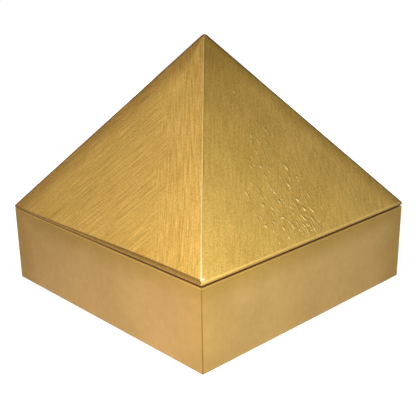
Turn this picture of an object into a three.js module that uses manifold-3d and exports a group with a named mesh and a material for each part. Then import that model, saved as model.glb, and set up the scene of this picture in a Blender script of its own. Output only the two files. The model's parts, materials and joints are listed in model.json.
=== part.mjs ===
// A wooden pyramid box, painted gold: a shallow square box of mitred boards under a hollow pyramid lid of four
// mitred panels. The lid swings on two pressed brass butt hinges that are let into the back.
// Millimetres, +Z up, -Y the front, +Y the hinge side, with the origin in the middle of the underside.
import * as THREE from "three";
import { mergeVertices } from "three/addons/utils/BufferGeometryUtils.js";
import Module from "manifold-3d";

const wasm = await Module();
wasm.setup();

// Outside of the box
const side = 152;
const baseHeight = 42;
const lidBandHeight = 1.3; // the upright edge round the foot of the lid
const lidSlopeHeight = 93; // from the upright edge to the point where the four slopes would meet
const tipFlatWidth = 1.6; // the point is sanded off to a small flat

// Boards and panels
const wallThickness = 10;
const lidPanelThickness = 9;
const bottomThickness = 4;
const rebateWidth = 5; // how far the bottom panel is let into each wall
const glueLine = 0.1;
const arrisRadius = 0.6; // outside edges of the base
const lidEdgeRadius = 0.4; // lower edge of the lid
const hipFlatWidth = 0.8; // the four hips of the lid are sanded to a narrow flat

// Gap between the base and the closed lid, which stands a little high at the front
const seamAtHinge = 0.2;
const seamAtFront = 0.6;

// Butt hinges, pressed from sheet and rolled round a pin
const hingeInset = 18.5; // from each side of the box to the near end of a leaf
const leafLength = 25;
const leafReach = 10; // from the pin's axis to the far edge of a leaf
const leafThickness = 0.7;
const pinRadius = 0.75;
const pinClearance = 0.1;
const knuckleCount = 5;
const knuckleGap = 0.2;
const backGap = 0.3; // between the barrel and the back of the box
const rollEndAngle = -Math.PI / 12; // where the rolled sheet ends, just above its own leaf
const pinHeadRadius = 1.2;
const pinHeadHeight = 0.45;

// Countersunk wood screws
const screwEndDistance = 5; // from each end of the leaf
const screwEdgeDistance = 2.7; // from the far edge of the leaf
const screwLength = 5;
const screwPointLength = 1.6;
const screwHeadRadius = 1.4;
const screwShankRadius = 0.7;
const slotWidth = 0.4;
const slotDepth = 0.35;

// Working allowances
const fitGap = 0.1; // round the leaves in their mortises and round the screws
const overrun = 2; // how far a cutter runs past what it cuts

// Facets
const arcSteps = 3;
const rollSteps = 11;
const turnedSteps = 24;

// Sizes that follow from the ones above
const halfSide = side / 2;
const rebateHeight = bottomThickness + glueLine;
const slopeAngle = Math.atan2(lidSlopeHeight, halfSide);
const lidRimWidth = lidPanelThickness / Math.sin(slopeAngle) - lidBandHeight / Math.tan(slopeAngle);
const lidPeakHeight = lidBandHeight + lidSlopeHeight;
const lidInnerPeakHeight = lidPeakHeight - lidPanelThickness / Math.cos(slopeAngle);
const lidTopHeight = lidPeakHeight - (tipFlatWidth / 2) * Math.tan(slopeAngle);
const boreRadius = pinRadius + pinClearance;
const barrelRadius = boreRadius + leafThickness;
const pinOffset = barrelRadius + backGap; // from the back of the box out to the pin's axis
const pinHeight = baseHeight + seamAtHinge / 2;
const hingeX = halfSide - hingeInset - leafLength / 2; // middle of a hinge, to either side
const screwX = leafLength / 2 - screwEndDistance; // from the middle of a leaf
const restTilt = Math.atan2(seamAtFront - seamAtHinge, side + pinOffset);
const screwHeadDepth = screwHeadRadius - screwShankRadius; // a right-angled countersink
const mitreInset = glueLine / Math.SQRT2; // half a glue line square to the mitre, measured along Y

const goldPaint = { color: 0xc79f52, roughness: 0.5, metalness: 0.75 };
const bareWood = { color: 0xb98f5c, roughness: 0.75, metalness: 0 };
const brass = { color: 0xb99745, roughness: 0.35, metalness: 1 };

// A closed geometry as a solid for cutting and joining.
function solidOf(geometry) {
  const bare = geometry.clone();
  bare.deleteAttribute("normal");
  bare.deleteAttribute("uv");
  const merged = mergeVertices(bare);
  return new wasm.Manifold(
    new wasm.Mesh({
      numProp: 3,
      vertProperties: merged.attributes.position.array,
      triVerts: new Uint32Array(merged.index.array),
    }),
  );
}

function geometryOf(solid) {
  const { vertProperties, triVerts } = solid.getMesh();
  const geometry = new THREE.BufferGeometry();
  geometry.setAttribute("position", new THREE.BufferAttribute(vertProperties, 3));
  geometry.setIndex(new THREE.BufferAttribute(triVerts, 1));
  geometry.computeVertexNormals();
  return geometry;
}

function pieceOf(name, solid, finish) {
  const piece = new THREE.Mesh(geometryOf(solid), new THREE.MeshStandardMaterial(finish));
  piece.name = name;
  return piece;
}

// A section drawn as (inward, up) and drawn out along X, centred on X.
function extrudedAlongX(section, length, curveSegments) {
  const geometry = new THREE.ExtrudeGeometry(section, {
    depth: length,
    bevelEnabled: false,
    curveSegments,
  });
  const inward = new THREE.Vector3(0, 1, 0);
  const up = new THREE.Vector3(0, 0, 1);
  const along = new THREE.Vector3(1, 0, 0);
  geometry.applyMatrix4(new THREE.Matrix4().makeBasis(inward, up, along));
  geometry.translate(-length / 2, 0, 0);
  return geometry;
}

// A profile of (radius, height) points turned about Z.
function turnedAboutZ(profile) {
  const points = profile.map(([radius, height]) => new THREE.Vector2(radius, height));
  return new THREE.LatheGeometry(points, turnedSteps).rotateX(Math.PI / 2);
}

// A wall of the base: rounded outside edges, and a rebate below for the bottom panel.
function wallSection() {
  const section = new THREE.Shape();
  section.moveTo(arrisRadius, 0);
  section.lineTo(wallThickness - rebateWidth, 0);
  section.lineTo(wallThickness - rebateWidth, rebateHeight);
  section.lineTo(wallThickness, rebateHeight);
  section.lineTo(wallThickness, baseHeight);
  section.absarc(arrisRadius, baseHeight - arrisRadius, arrisRadius, Math.PI / 2, Math.PI, false);
  section.absarc(arrisRadius, arrisRadius, arrisRadius, Math.PI, 1.5 * Math.PI, false);
  return section;
}

// A panel of the lid: a low upright edge, the slope up to the flat at the tip, and the inner slope.
function lidSection() {
  const section = new THREE.Shape();
  section.moveTo(lidEdgeRadius, 0);
  section.lineTo(lidRimWidth, 0);
  section.lineTo(halfSide, lidInnerPeakHeight);
  section.lineTo(halfSide, lidTopHeight);
  section.lineTo(halfSide - tipFlatWidth / 2, lidTopHeight);
  section.lineTo(0, lidBandHeight);
  section.absarc(lidEdgeRadius, lidEdgeRadius, lidEdgeRadius, Math.PI, 1.5 * Math.PI, false);
  return section;
}

// What one side may fill, seen from above: a quarter of the square, cut at its two mitres, with the two
// outside corners rounded.
function mitreWedge(height) {
  const centre = halfSide - arrisRadius;
  const start = 1.25 * Math.PI + Math.asin(mitreInset / (arrisRadius * Math.SQRT2));
  const middle = 1.5 * Math.PI;
  const plan = new THREE.Shape();
  plan.absarc(-centre, -centre, arrisRadius, start, middle, false);
  plan.absarc(centre, -centre, arrisRadius, middle, 2 * middle - start, false);
  plan.lineTo(0, -mitreInset);
  return solidOf(
    new THREE.ExtrudeGeometry(plan, { depth: height, bevelEnabled: false, curveSegments: arcSteps }),
  );
}

// The room under the sanded hips: a pyramid turned by an eighth, with a face along each hip.
function hipTrim() {
  const hipAngle = Math.atan2(lidSlopeHeight, halfSide * Math.SQRT2);
  const slopesMeetAt = Math.acos(-Math.cos(slopeAngle) * Math.cos(slopeAngle));
  const flatDepth = hipFlatWidth / 2 / Math.tan(slopesMeetAt / 2);
  const height = lidPeakHeight - flatDepth / Math.cos(hipAngle);
  const cornerRadius = (height / Math.tan(hipAngle)) * Math.SQRT2;
  const pyramid = new THREE.CylinderGeometry(0, cornerRadius, height, 4);
  pyramid.rotateX(Math.PI / 2);
  pyramid.translate(0, 0, height / 2);
  return solidOf(pyramid);
}

function mitredWall() {
  const board = extrudedAlongX(wallSection(), side, arcSteps).translate(0, -halfSide, 0);
  return solidOf(board).intersect(mitreWedge(baseHeight));
}

function mitredLidPanel() {
  const board = extrudedAlongX(lidSection(), side, arcSteps).translate(0, -halfSide, 0);
  return solidOf(board).intersect(mitreWedge(lidPeakHeight)).intersect(hipTrim());
}

function bottomPanel() {
  const width = side - 2 * (wallThickness - rebateWidth + glueLine);
  return solidOf(
    new THREE.BoxGeometry(width, width, bottomThickness).translate(0, 0, bottomThickness / 2),
  );
}

// A countersunk screw with its head's face at the origin and its point below, grown all round for a hole.
function screwForm(growth) {
  return turnedAboutZ([
    [0, -screwLength - growth],
    [screwShankRadius + growth, screwPointLength - screwLength],
    [screwShankRadius + growth, -screwHeadDepth],
    [screwHeadRadius + growth, 0],
    [0, 0],
  ]);
}

function screw() {
  const slot = new THREE.BoxGeometry(2 * screwHeadRadius + overrun, slotWidth, 2 * slotDepth);
  return solidOf(screwForm(0)).subtract(solidOf(slot));
}

// The places of a leaf's screws, in the leaf's own frame: X along the pin, Y inward, the leaf below the pin.
function screwPlaces() {
  return [-screwX, screwX].map(
    (x) => new THREE.Vector3(x, leafReach - screwEdgeDistance, -boreRadius),
  );
}

// A rolled knuckle with the strip of leaf behind it: the sheet runs flat under the pin, then right round it.
function knuckleSection() {
  const bottom = -Math.PI / 2;
  const section = new THREE.Shape();
  section.moveTo(0, -barrelRadius);
  section.lineTo(leafReach, -barrelRadius);
  section.lineTo(leafReach, -boreRadius);
  section.absarc(0, 0, boreRadius, bottom, rollEndAngle, true);
  section.absarc(0, 0, barrelRadius, rollEndAngle, bottom, false);
  return section;
}

// One leaf with every second knuckle, from the first (0) or the second (1) one on.
function hingeLeaf(firstKnuckle) {
  const pitch = leafLength / knuckleCount;
  const notch = barrelRadius + knuckleGap; // the leaf stands back here from the other leaf's knuckles
  const plate = new THREE.BoxGeometry(leafLength, leafReach - notch, leafThickness);
  plate.translate(0, (leafReach + notch) / 2, -boreRadius - leafThickness / 2);
  let leaf = solidOf(plate);
  for (let i = firstKnuckle; i < knuckleCount; i += 2) {
    const knuckle = extrudedAlongX(knuckleSection(), pitch - knuckleGap, rollSteps);
    knuckle.translate((i + 0.5) * pitch - leafLength / 2, 0, 0);
    leaf = leaf.add(solidOf(knuckle));
  }
  for (const place of screwPlaces()) {
    leaf = leaf.subtract(solidOf(screwForm(fitGap)).translate(place.toArray()));
  }
  return leaf;
}

// The pin, with both ends peened over to domed heads.
function hingePin() {
  const steps = 4;
  const reach = leafLength / 2;
  const upper = [[pinRadius, reach]];
  for (let i = 0; i <= steps; i += 1) {
    const turn = (i / steps) * (Math.PI / 2);
    upper.push([pinHeadRadius * Math.cos(turn), reach + pinHeadHeight * Math.sin(turn)]);
  }
  upper[upper.length - 1][0] = 0;
  const lower = upper.map(([radius, height]) => [radius, -height]).reverse();
  return solidOf(turnedAboutZ([...lower, ...upper]).rotateY(Math.PI / 2));
}

// What a leaf takes out of the wood: a shallow mortise open to the back, and a pilot hole for each screw.
function leafCutter() {
  const floor = -barrelRadius - fitGap;
  const outer = pinOffset - overrun;
  const inner = leafReach + fitGap;
  const mortise = new THREE.BoxGeometry(leafLength + 2 * fitGap, inner - outer, overrun - floor);
  mortise.translate(0, (inner + outer) / 2, (overrun + floor) / 2);
  let cutter = solidOf(mortise);
  for (const place of screwPlaces()) {
    cutter = cutter.add(solidOf(screwForm(fitGap)).translate(place.toArray()));
  }
  return cutter;
}

// The hinges as they stand along a side whose outside faces -Y. The back is met from behind, so there the
// left hinge of the box is the one at +X.
const hingePlaces = [
  { name: "left_hinge", x: hingeX },
  { name: "right_hinge", x: -hingeX },
];

// Where a leaf lies on that side, with the pin at the given height; the lid's leaf is turned upside down.
function placeLeaf(object, x, height, upsideDown) {
  object.position.set(x, -halfSide - pinOffset, height);
  object.rotation.y = upsideDown ? Math.PI : 0;
  object.updateMatrix();
  return object;
}

function withMortises(wood, height, upsideDown) {
  return hingePlaces.reduce((cut, { x }) => {
    const place = placeLeaf(new THREE.Object3D(), x, height, upsideDown);
    return cut.subtract(leafCutter().transform(place.matrix.toArray()));
  }, wood);
}

// One leaf and its two screws, each with its slot left at an angle of its own.
function leafAssembly(name, firstKnuckle, slotTurn) {
  const group = new THREE.Group();
  group.add(pieceOf(`${name}_leaf`, hingeLeaf(firstKnuckle), brass));
  screwPlaces().forEach((place, i) => {
    const piece = pieceOf(`${name}_screw_${i + 1}`, screw(), brass);
    piece.position.copy(place);
    piece.rotation.z = slotTurn + i;
    group.add(piece);
  });
  return group;
}

// Puts a piece or a group that was made facing -Y on one of the four sides.
function onSide(object, quarterTurns) {
  object.rotation.z = (quarterTurns * Math.PI) / 2;
  return object;
}

function makeBase() {
  const base = new THREE.Group();
  base.add(pieceOf("front_wall", mitredWall(), goldPaint));
  base.add(onSide(pieceOf("right_wall", mitredWall(), goldPaint), 1));
  base.add(onSide(pieceOf("left_wall", mitredWall(), goldPaint), 3));
  base.add(pieceOf("bottom_panel", bottomPanel(), bareWood));

  const back = new THREE.Group();
  back.add(pieceOf("back_wall", withMortises(mitredWall(), pinHeight, false), goldPaint));
  hingePlaces.forEach(({ name, x }, i) => {
    back.add(placeLeaf(leafAssembly(`${name}_base`, 0, i), x, pinHeight, false));
    back.add(placeLeaf(pieceOf(`${name}_pin`, hingePin(), brass), x, pinHeight, false));
  });
  base.add(onSide(back, 2));
  return base;
}

// The lid in its own frame, with its rim at height zero.
function makeLid() {
  const lid = new THREE.Group();
  const pinBelowRim = -seamAtHinge / 2;
  lid.add(pieceOf("lid_front_panel", mitredLidPanel(), goldPaint));
  lid.add(onSide(pieceOf("lid_right_panel", mitredLidPanel(), goldPaint), 1));
  lid.add(onSide(pieceOf("lid_left_panel", mitredLidPanel(), goldPaint), 3));

  const back = new THREE.Group();
  back.add(pieceOf("lid_back_panel", withMortises(mitredLidPanel(), pinBelowRim, true), goldPaint));
  hingePlaces.forEach(({ name, x }, i) => {
    back.add(placeLeaf(leafAssembly(`${name}_lid`, 1, i + 2), x, pinBelowRim, true));
  });
  lid.add(onSide(back, 2));
  return lid;
}

// The closed lid hangs from the pins, turned back by the small angle at which its front stands high.
function hungLid() {
  const hung = new THREE.Group();
  hung.position.set(0, halfSide + pinOffset, pinHeight);
  hung.rotation.x = -restTilt;
  const lid = makeLid();
  lid.position.set(0, -halfSide - pinOffset, seamAtHinge / 2);
  hung.add(lid);
  return hung;
}

const box = new THREE.Group();
box.name = "wooden_pyramid_box";
box.add(makeBase(), hungLid());

export default box;
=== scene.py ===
"""The looks of a wooden pyramid box, painted gold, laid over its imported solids.

The boards, panels, hinge leaves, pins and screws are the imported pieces, each with a finish of its own. Over
the outside of the box lie coats of gold paint, with the brush marks and ridges of painting by hand.
Lengths are in metres, +Z is up, -Y is the front and +Y the hinge side.
"""

import json
import logging
import math
from dataclasses import dataclass, field
from enum import Enum

import bpy
import numpy as np
from mathutils import Matrix, Vector


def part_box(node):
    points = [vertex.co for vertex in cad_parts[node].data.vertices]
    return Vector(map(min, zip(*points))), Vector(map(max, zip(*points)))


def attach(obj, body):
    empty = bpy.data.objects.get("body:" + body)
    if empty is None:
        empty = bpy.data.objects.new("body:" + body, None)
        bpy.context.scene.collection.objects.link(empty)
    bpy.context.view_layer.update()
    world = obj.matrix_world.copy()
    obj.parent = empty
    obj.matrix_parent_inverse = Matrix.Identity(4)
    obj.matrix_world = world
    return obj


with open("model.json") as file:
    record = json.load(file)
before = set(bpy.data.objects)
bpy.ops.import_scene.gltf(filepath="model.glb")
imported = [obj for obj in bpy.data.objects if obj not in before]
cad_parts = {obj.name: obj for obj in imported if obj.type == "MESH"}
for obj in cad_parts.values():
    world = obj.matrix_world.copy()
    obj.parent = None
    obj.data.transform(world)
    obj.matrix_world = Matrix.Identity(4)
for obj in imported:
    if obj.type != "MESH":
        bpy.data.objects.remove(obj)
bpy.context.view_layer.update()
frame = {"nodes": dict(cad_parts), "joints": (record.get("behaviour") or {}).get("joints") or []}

LOG = logging.getLogger("pyramid_box")

Socket = bpy.types.NodeSocket
Colour = tuple[float, float, float, float]
Value = Socket | float | int | tuple[float, ...] | Vector
Feeds = dict[str | int, Value]
Lengths = np.ndarray | float


def mm(length: float) -> float:
    """Turns millimetres into metres.

    Args:
        length: A length in millimetres.

    Returns:
        The same length in metres.
    """
    return length / 1000


def colour(red: int, green: int, blue: int) -> Colour:
    """Turns a colour as a screen shows it, by the sRGB curve, into the linear values that a shader takes.

    Args:
        red: Red from 0 to 255.
        green: Green from 0 to 255.
        blue: Blue from 0 to 255.

    Returns:
        Linear red, green and blue, and a full alpha.
    """
    shares = (red / 255, green / 255, blue / 255)
    linear = [s / 12.92 if s <= 0.04045 else ((s + 0.055) / 1.055) ** 2.4 for s in shares]
    return linear[0], linear[1], linear[2], 1.0


def grey(share: float) -> Colour:
    """Gives a grey by its share of white light."""
    return share, share, share, 1.0


def smoothstep(value: np.ndarray, start: float, end: float) -> np.ndarray:
    """Rises smoothly from 0 at start to 1 at end.

    Args:
        value: The values to look up.
        start: Where the rise starts.
        end: Where the rise ends.

    Returns:
        The risen values, from 0 to 1.
    """
    share = np.clip((value - start) / (end - start), 0, 1)
    return share * share * (3 - 2 * share)


class Side(Enum):
    """A side of the box, by its quarter turns from the front, seen from above and anticlockwise."""

    FRONT = 0
    RIGHT = 1
    BACK = 2
    LEFT = 3

    @property
    def label(self) -> str:
        """The side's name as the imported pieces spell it."""
        return self.name.lower()

    @property
    def turn(self) -> Matrix:
        """The turn that brings a piece made facing the front to this side."""
        return Matrix.Rotation(self.value * math.pi / 2, 4, "Z")

    @property
    def across(self) -> Vector:
        """The direction from left to right, as someone who faces the side sees it."""
        return self.turn.to_3x3() @ Vector((1, 0, 0))

    @property
    def hip_is_right(self) -> bool:
        """True where the hip that the brush followed is at the right-hand end of the side."""
        return self in (Side.LEFT, Side.RIGHT)


@dataclass(frozen=True)
class SmoothNoise:
    """Smooth random heights over a plane, alike each run."""

    seed: int
    cells: int = 256

    def sample(self, across: np.ndarray, along: np.ndarray) -> np.ndarray:
        """Reads the heights at points given in cells.

        Args:
            across: First coordinates.
            along: Second coordinates.

        Returns:
            Heights from -1 to 1.
        """
        table = np.random.default_rng(self.seed).uniform(-1, 1, (self.cells, self.cells))
        column = np.floor(across).astype(int)
        row = np.floor(along).astype(int)
        right = smoothstep(across - column, 0, 1)
        up = smoothstep(along - row, 0, 1)
        corners = [
            table[(column + i) % self.cells, (row + j) % self.cells] for j in (0, 1) for i in (0, 1)
        ]
        low = corners[0] * (1 - right) + corners[1] * right
        high = corners[2] * (1 - right) + corners[3] * right
        return low * (1 - up) + high * up


@dataclass(frozen=True)
class StrokeLay:
    """One lay of brush strokes on a side, in one direction and over one part of it.

    The angle is measured on the surface from the foot of the side, anticlockwise as seen from outside. near
    and far are level distances from the hip that the brush followed, between which the lay fades in or out.
    Without them it lies all over the side.
    """

    angle: float
    seed: int
    near: float = -1.0
    far: float = -0.5
    width: float = mm(2.4)
    length: float = mm(32)
    depth: float = mm(0.03)
    fades_out: bool = False
    fine_width: float = mm(1.0)
    fine_length: float = mm(14)

    WANDER = mm(6)
    WANDER_SIZE = mm(14)
    FINER_ACROSS = 2.1
    FINER_ALONG = 1.7
    MEAN_PRESSURE = 0.6
    PRESSURE_SWING = 0.4
    WIDTHS_TO_A_SWING = 9
    LENGTHS_TO_A_SWING = 2

    def directions(self, side: Side, rise: float) -> tuple[Vector, Vector]:
        """Gives the stroke's directions in space.

        Args:
            side: The side that the strokes lie on.
            rise: The slope of that side against the ground, in radians.

        Returns:
            The direction across the strokes and the one along them.
        """
        up = side.turn.to_3x3() @ Vector((0, math.cos(rise), math.sin(rise)))
        turn = math.radians(self.angle)
        along = side.across * math.cos(turn) + up * math.sin(turn)
        across = side.across * math.sin(turn) - up * math.cos(turn)
        return across, along

    def relief(self, u: np.ndarray, v: np.ndarray, hip_distance: np.ndarray) -> np.ndarray:
        """Works out how high the broad marks of this lay stand.

        Args:
            u: Places across the side.
            v: Places up the side.
            hip_distance: Level distances from the hip that the brush followed.

        Returns:
            Heights over the bare coat.
        """
        turn = math.radians(self.angle)
        across = (u * math.sin(turn) - v * math.cos(turn)) / self.width
        along = (u * math.cos(turn) + v * math.sin(turn)) / self.length
        marks = SmoothNoise(self.seed).sample(across, along)
        marks += SmoothNoise(self.seed + 1).sample(across * self.FINER_ACROSS, along * self.FINER_ALONG) / 2
        swing = SmoothNoise(self.seed + 2).sample(
            across / self.WIDTHS_TO_A_SWING, along / self.LENGTHS_TO_A_SWING
        )
        pressure = self.MEAN_PRESSURE + self.PRESSURE_SWING * swing
        wander = self.WANDER * SmoothNoise(self.seed + 3).sample(u / self.WANDER_SIZE, v / self.WANDER_SIZE)
        share = smoothstep(hip_distance + wander, self.near, self.far)
        return self.depth * marks * pressure * (1 - share if self.fades_out else share)


class NodePad:
    """Adds nodes to one tree and hands back their outputs, so that a finish reads as a few sums."""

    def __init__(self, tree: bpy.types.NodeTree) -> None:
        """Starts on a tree.

        Args:
            tree: The node tree to add to.
        """
        self.tree = tree

    def add(self, kind: str, feeds: Feeds | None = None, **settings: object) -> bpy.types.Node:
        """Adds one node.

        Args:
            kind: The node's type.
            feeds: What goes into its sockets, by name or number.
            **settings: Properties of the node itself.

        Returns:
            The new node.
        """
        node = self.tree.nodes.new(kind)
        node.location = (200 * (len(self.tree.nodes) // 6), -170 * (len(self.tree.nodes) % 6))
        for name, value in settings.items():
            setattr(node, name, value)
        self.feed(node, feeds or {})
        return node

    def feed(self, node: bpy.types.Node, feeds: Feeds) -> None:
        """Links outputs to a node's sockets, or sets the sockets to values.

        Args:
            node: The node to feed.
            feeds: What goes into its sockets, by name or number.
        """
        for key, value in feeds.items():
            if isinstance(value, bpy.types.NodeSocket):
                self.tree.links.new(value, node.inputs[key])
            else:
                node.inputs[key].default_value = value

    def math(self, operation: str, *values: Value, clamp: bool = False) -> Socket:
        """Works out one sum of numbers.

        Args:
            operation: The sum, as the Math node names it.
            *values: Its terms.
            clamp: True to keep the result from 0 to 1.

        Returns:
            The result.
        """
        feeds = dict(enumerate(values))
        return self.add("ShaderNodeMath", feeds, operation=operation, use_clamp=clamp).outputs[0]

    def vector(self, operation: str, *values: Value) -> bpy.types.Node:
        """Works out one sum of vectors.

        Args:
            operation: The sum, as the Vector Math node names it.
            *values: Its terms.

        Returns:
            The node, for its Vector or its Value.
        """
        return self.add("ShaderNodeVectorMath", dict(enumerate(values)), operation=operation)

    def scaled(self, vector: Value, factor: Value) -> Socket:
        """Scales a vector by a number."""
        return self.add("ShaderNodeVectorMath", {0: vector, "Scale": factor}, operation="SCALE").outputs[0]

    def shifted(self, vector: Value, shift: Value) -> Socket:
        """Adds two vectors."""
        return self.vector("ADD", vector, shift).outputs[0]

    def dot(self, first: Value, second: Value) -> Socket:
        """Takes the dot product of two vectors."""
        return self.vector("DOT_PRODUCT", first, second).outputs["Value"]

    def combined(self, x: Value, y: Value, z: Value) -> Socket:
        """Joins three numbers into a vector."""
        return self.add("ShaderNodeCombineXYZ", {0: x, 1: y, 2: z}).outputs[0]

    def height(self, position: Value) -> Socket:
        """Reads how high a place lies."""
        return self.add("ShaderNodeSeparateXYZ", {0: position}).outputs[2]

    def level_sizes(self, position: Value) -> list[Socket]:
        """Reads how far a place lies from the box's two upright middle planes."""
        parts = self.add("ShaderNodeSeparateXYZ", {0: position})
        return [self.math("ABSOLUTE", parts.outputs[i]) for i in (0, 1)]

    def opposite(self, mask: Value) -> Socket:
        """Swaps a mask's 0 and 1."""
        return self.math("SUBTRACT", 1.0, mask)

    def noise(self, vector: Value, scale: Value, detail: float = 2, roughness: float = 0.5) -> Socket:
        """Reads smooth noise.

        Args:
            vector: Where to read it.
            scale: How many cells there are to a unit.
            detail: How many finer layers are added.
            roughness: How strong the finer layers are.

        Returns:
            Noise from 0 to 1.
        """
        feeds = {"Vector": vector, "Scale": scale, "Detail": detail, "Roughness": roughness}
        return self.add("ShaderNodeTexNoise", feeds).outputs[0]

    def bump(self, height: Value, distance: float, strength: float = 1.0) -> Socket:
        """Tilts the surface as heights ask.

        Args:
            height: The heights.
            distance: The length that a height of 1 stands for.
            strength: How far the tilt is taken.

        Returns:
            The normal.
        """
        feeds = {"Height": height, "Distance": distance, "Strength": strength}
        return self.add("ShaderNodeBump", feeds).outputs[0]

    def remap(self, value: Value, start: Value, end: Value, low: float = 0, high: float = 1) -> Socket:
        """Turns a span of values smoothly into another.

        Args:
            value: The value to turn.
            start: Where the span starts.
            end: Where it ends.
            low: The result at the start.
            high: The result at the end.

        Returns:
            The turned value.
        """
        feeds = dict(enumerate((value, start, end, low, high)))
        return self.add("ShaderNodeMapRange", feeds, interpolation_type="SMOOTHSTEP").outputs[0]

    def blend(self, share: Value, first: Value, second: Value, blend_type: str = "MIX") -> Socket:
        """Mixes two colours.

        Args:
            share: The second one's share.
            first: The first colour.
            second: The second colour.
            blend_type: How they mix.

        Returns:
            The mixed colour.
        """
        feeds = {0: share, 6: first, 7: second}
        return self.add("ShaderNodeMix", feeds, data_type="RGBA", blend_type=blend_type).outputs[2]

    def effect(self, effect: type["Effect"], **values: Value) -> bpy.types.Node:
        """Places an effect's node group.

        Args:
            effect: The effect.
            **values: What goes into its sockets, by name.

        Returns:
            The placed group.
        """
        return self.add("ShaderNodeGroup", values, node_tree=effect.tree())


class Effect:
    """A shader node group that materials share, built once."""

    name = ""
    inputs: dict[str, str] = {}
    outputs: dict[str, str] = {}

    @classmethod
    def tree(cls) -> bpy.types.NodeTree:
        """Finds or builds the group.

        Returns:
            The group's node tree.
        """
        found = bpy.data.node_groups.get(cls.name)
        if found:
            return found
        tree = bpy.data.node_groups.new(cls.name, "ShaderNodeTree")
        for title, kind in cls.inputs.items():
            tree.interface.new_socket(title, in_out="INPUT", socket_type=kind)
        for title, kind in cls.outputs.items():
            tree.interface.new_socket(title, in_out="OUTPUT", socket_type=kind)
        pad = NodePad(tree)
        entry = pad.add("NodeGroupInput")
        results = cls.lay_out(pad, {socket.name: socket for socket in entry.outputs if socket.name})
        pad.add("NodeGroupOutput", results)
        return tree

    @classmethod
    def lay_out(cls, pad: NodePad, given: dict[str, Socket]) -> dict[str, Socket]:
        """Lays out the group's nodes; each effect has its own."""
        raise NotImplementedError


FLOAT = "NodeSocketFloat"
VECTOR = "NodeSocketVector"


class BrushStrokes(Effect):
    """Fine parallel streaks, as a stiff brush leaves them in paint or a plane in wood."""

    name = "brush strokes"
    inputs = {
        "Position": VECTOR, "Across": VECTOR, "Along": VECTOR, "Width": FLOAT, "Length": FLOAT, "Seed": FLOAT,
    }
    outputs = {"Height": FLOAT}

    LOW_NOISE = 0.32
    HIGH_NOISE = 0.68

    @classmethod
    def lay_out(cls, pad: NodePad, given: dict[str, Socket]) -> dict[str, Socket]:
        """Stretches noise along the strokes.

        Args:
            pad: The group's pad.
            given: The group's inputs.

        Returns:
            The streaks' height, from 0 to 1.
        """
        across = pad.math("DIVIDE", pad.dot(given["Position"], given["Across"]), given["Width"])
        along = pad.math("DIVIDE", pad.dot(given["Position"], given["Along"]), given["Length"])
        streaks = pad.noise(pad.combined(across, along, given["Seed"]), 1.0, detail=3, roughness=0.6)
        return {"Height": pad.remap(streaks, cls.LOW_NOISE, cls.HIGH_NOISE)}


class Clouds(Effect):
    """Soft uneven patches, for the tone of paint, wood and metal."""

    name = "clouds"
    inputs = {"Position": VECTOR, "Size": FLOAT, "Seed": FLOAT}
    outputs = {"Tone": FLOAT}

    LOW_NOISE = 0.3
    HIGH_NOISE = 0.7

    @classmethod
    def lay_out(cls, pad: NodePad, given: dict[str, Socket]) -> dict[str, Socket]:
        """Reads large soft noise.

        Args:
            pad: The group's pad.
            given: The group's inputs.

        Returns:
            The tone, from 0 to 1.
        """
        seed = pad.combined(given["Seed"], given["Seed"], given["Seed"])
        scale = pad.math("DIVIDE", 1.0, given["Size"])
        soft = pad.noise(pad.shifted(given["Position"], seed), scale, detail=4, roughness=0.55)
        return {"Tone": pad.remap(soft, cls.LOW_NOISE, cls.HIGH_NOISE)}


class RaggedEdge(Effect):
    """A mask that ends in an uneven line at some distance from an edge, for tinted, painted-light and
    overpainted edges.
    """

    name = "ragged edge"
    inputs = {
        "Position": VECTOR, "Distance": FLOAT, "Reach": FLOAT, "Raggedness": FLOAT, "Grain": FLOAT,
        "Seed": FLOAT,
    }
    outputs = {"Mask": FLOAT}

    SOLID_SHARE = 0.7

    @classmethod
    def lay_out(cls, pad: NodePad, given: dict[str, Socket]) -> dict[str, Socket]:
        """Moves the edge's distance by noise and cuts it off.

        Args:
            pad: The group's pad.
            given: The group's inputs.

        Returns:
            The mask, 1 at the edge and 0 beyond its reach.
        """
        place = pad.shifted(given["Position"], pad.combined(given["Seed"], 0.0, given["Seed"]))
        noise = pad.noise(place, pad.math("DIVIDE", 1.0, given["Grain"]), detail=4, roughness=0.65)
        wander = pad.math("SUBTRACT", noise, 0.5)
        moved = pad.math("MULTIPLY_ADD", wander, given["Raggedness"], given["Distance"])
        start = pad.math("MULTIPLY", given["Reach"], cls.SOLID_SHARE)
        return {"Mask": pad.opposite(pad.remap(moved, start, given["Reach"]))}


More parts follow.
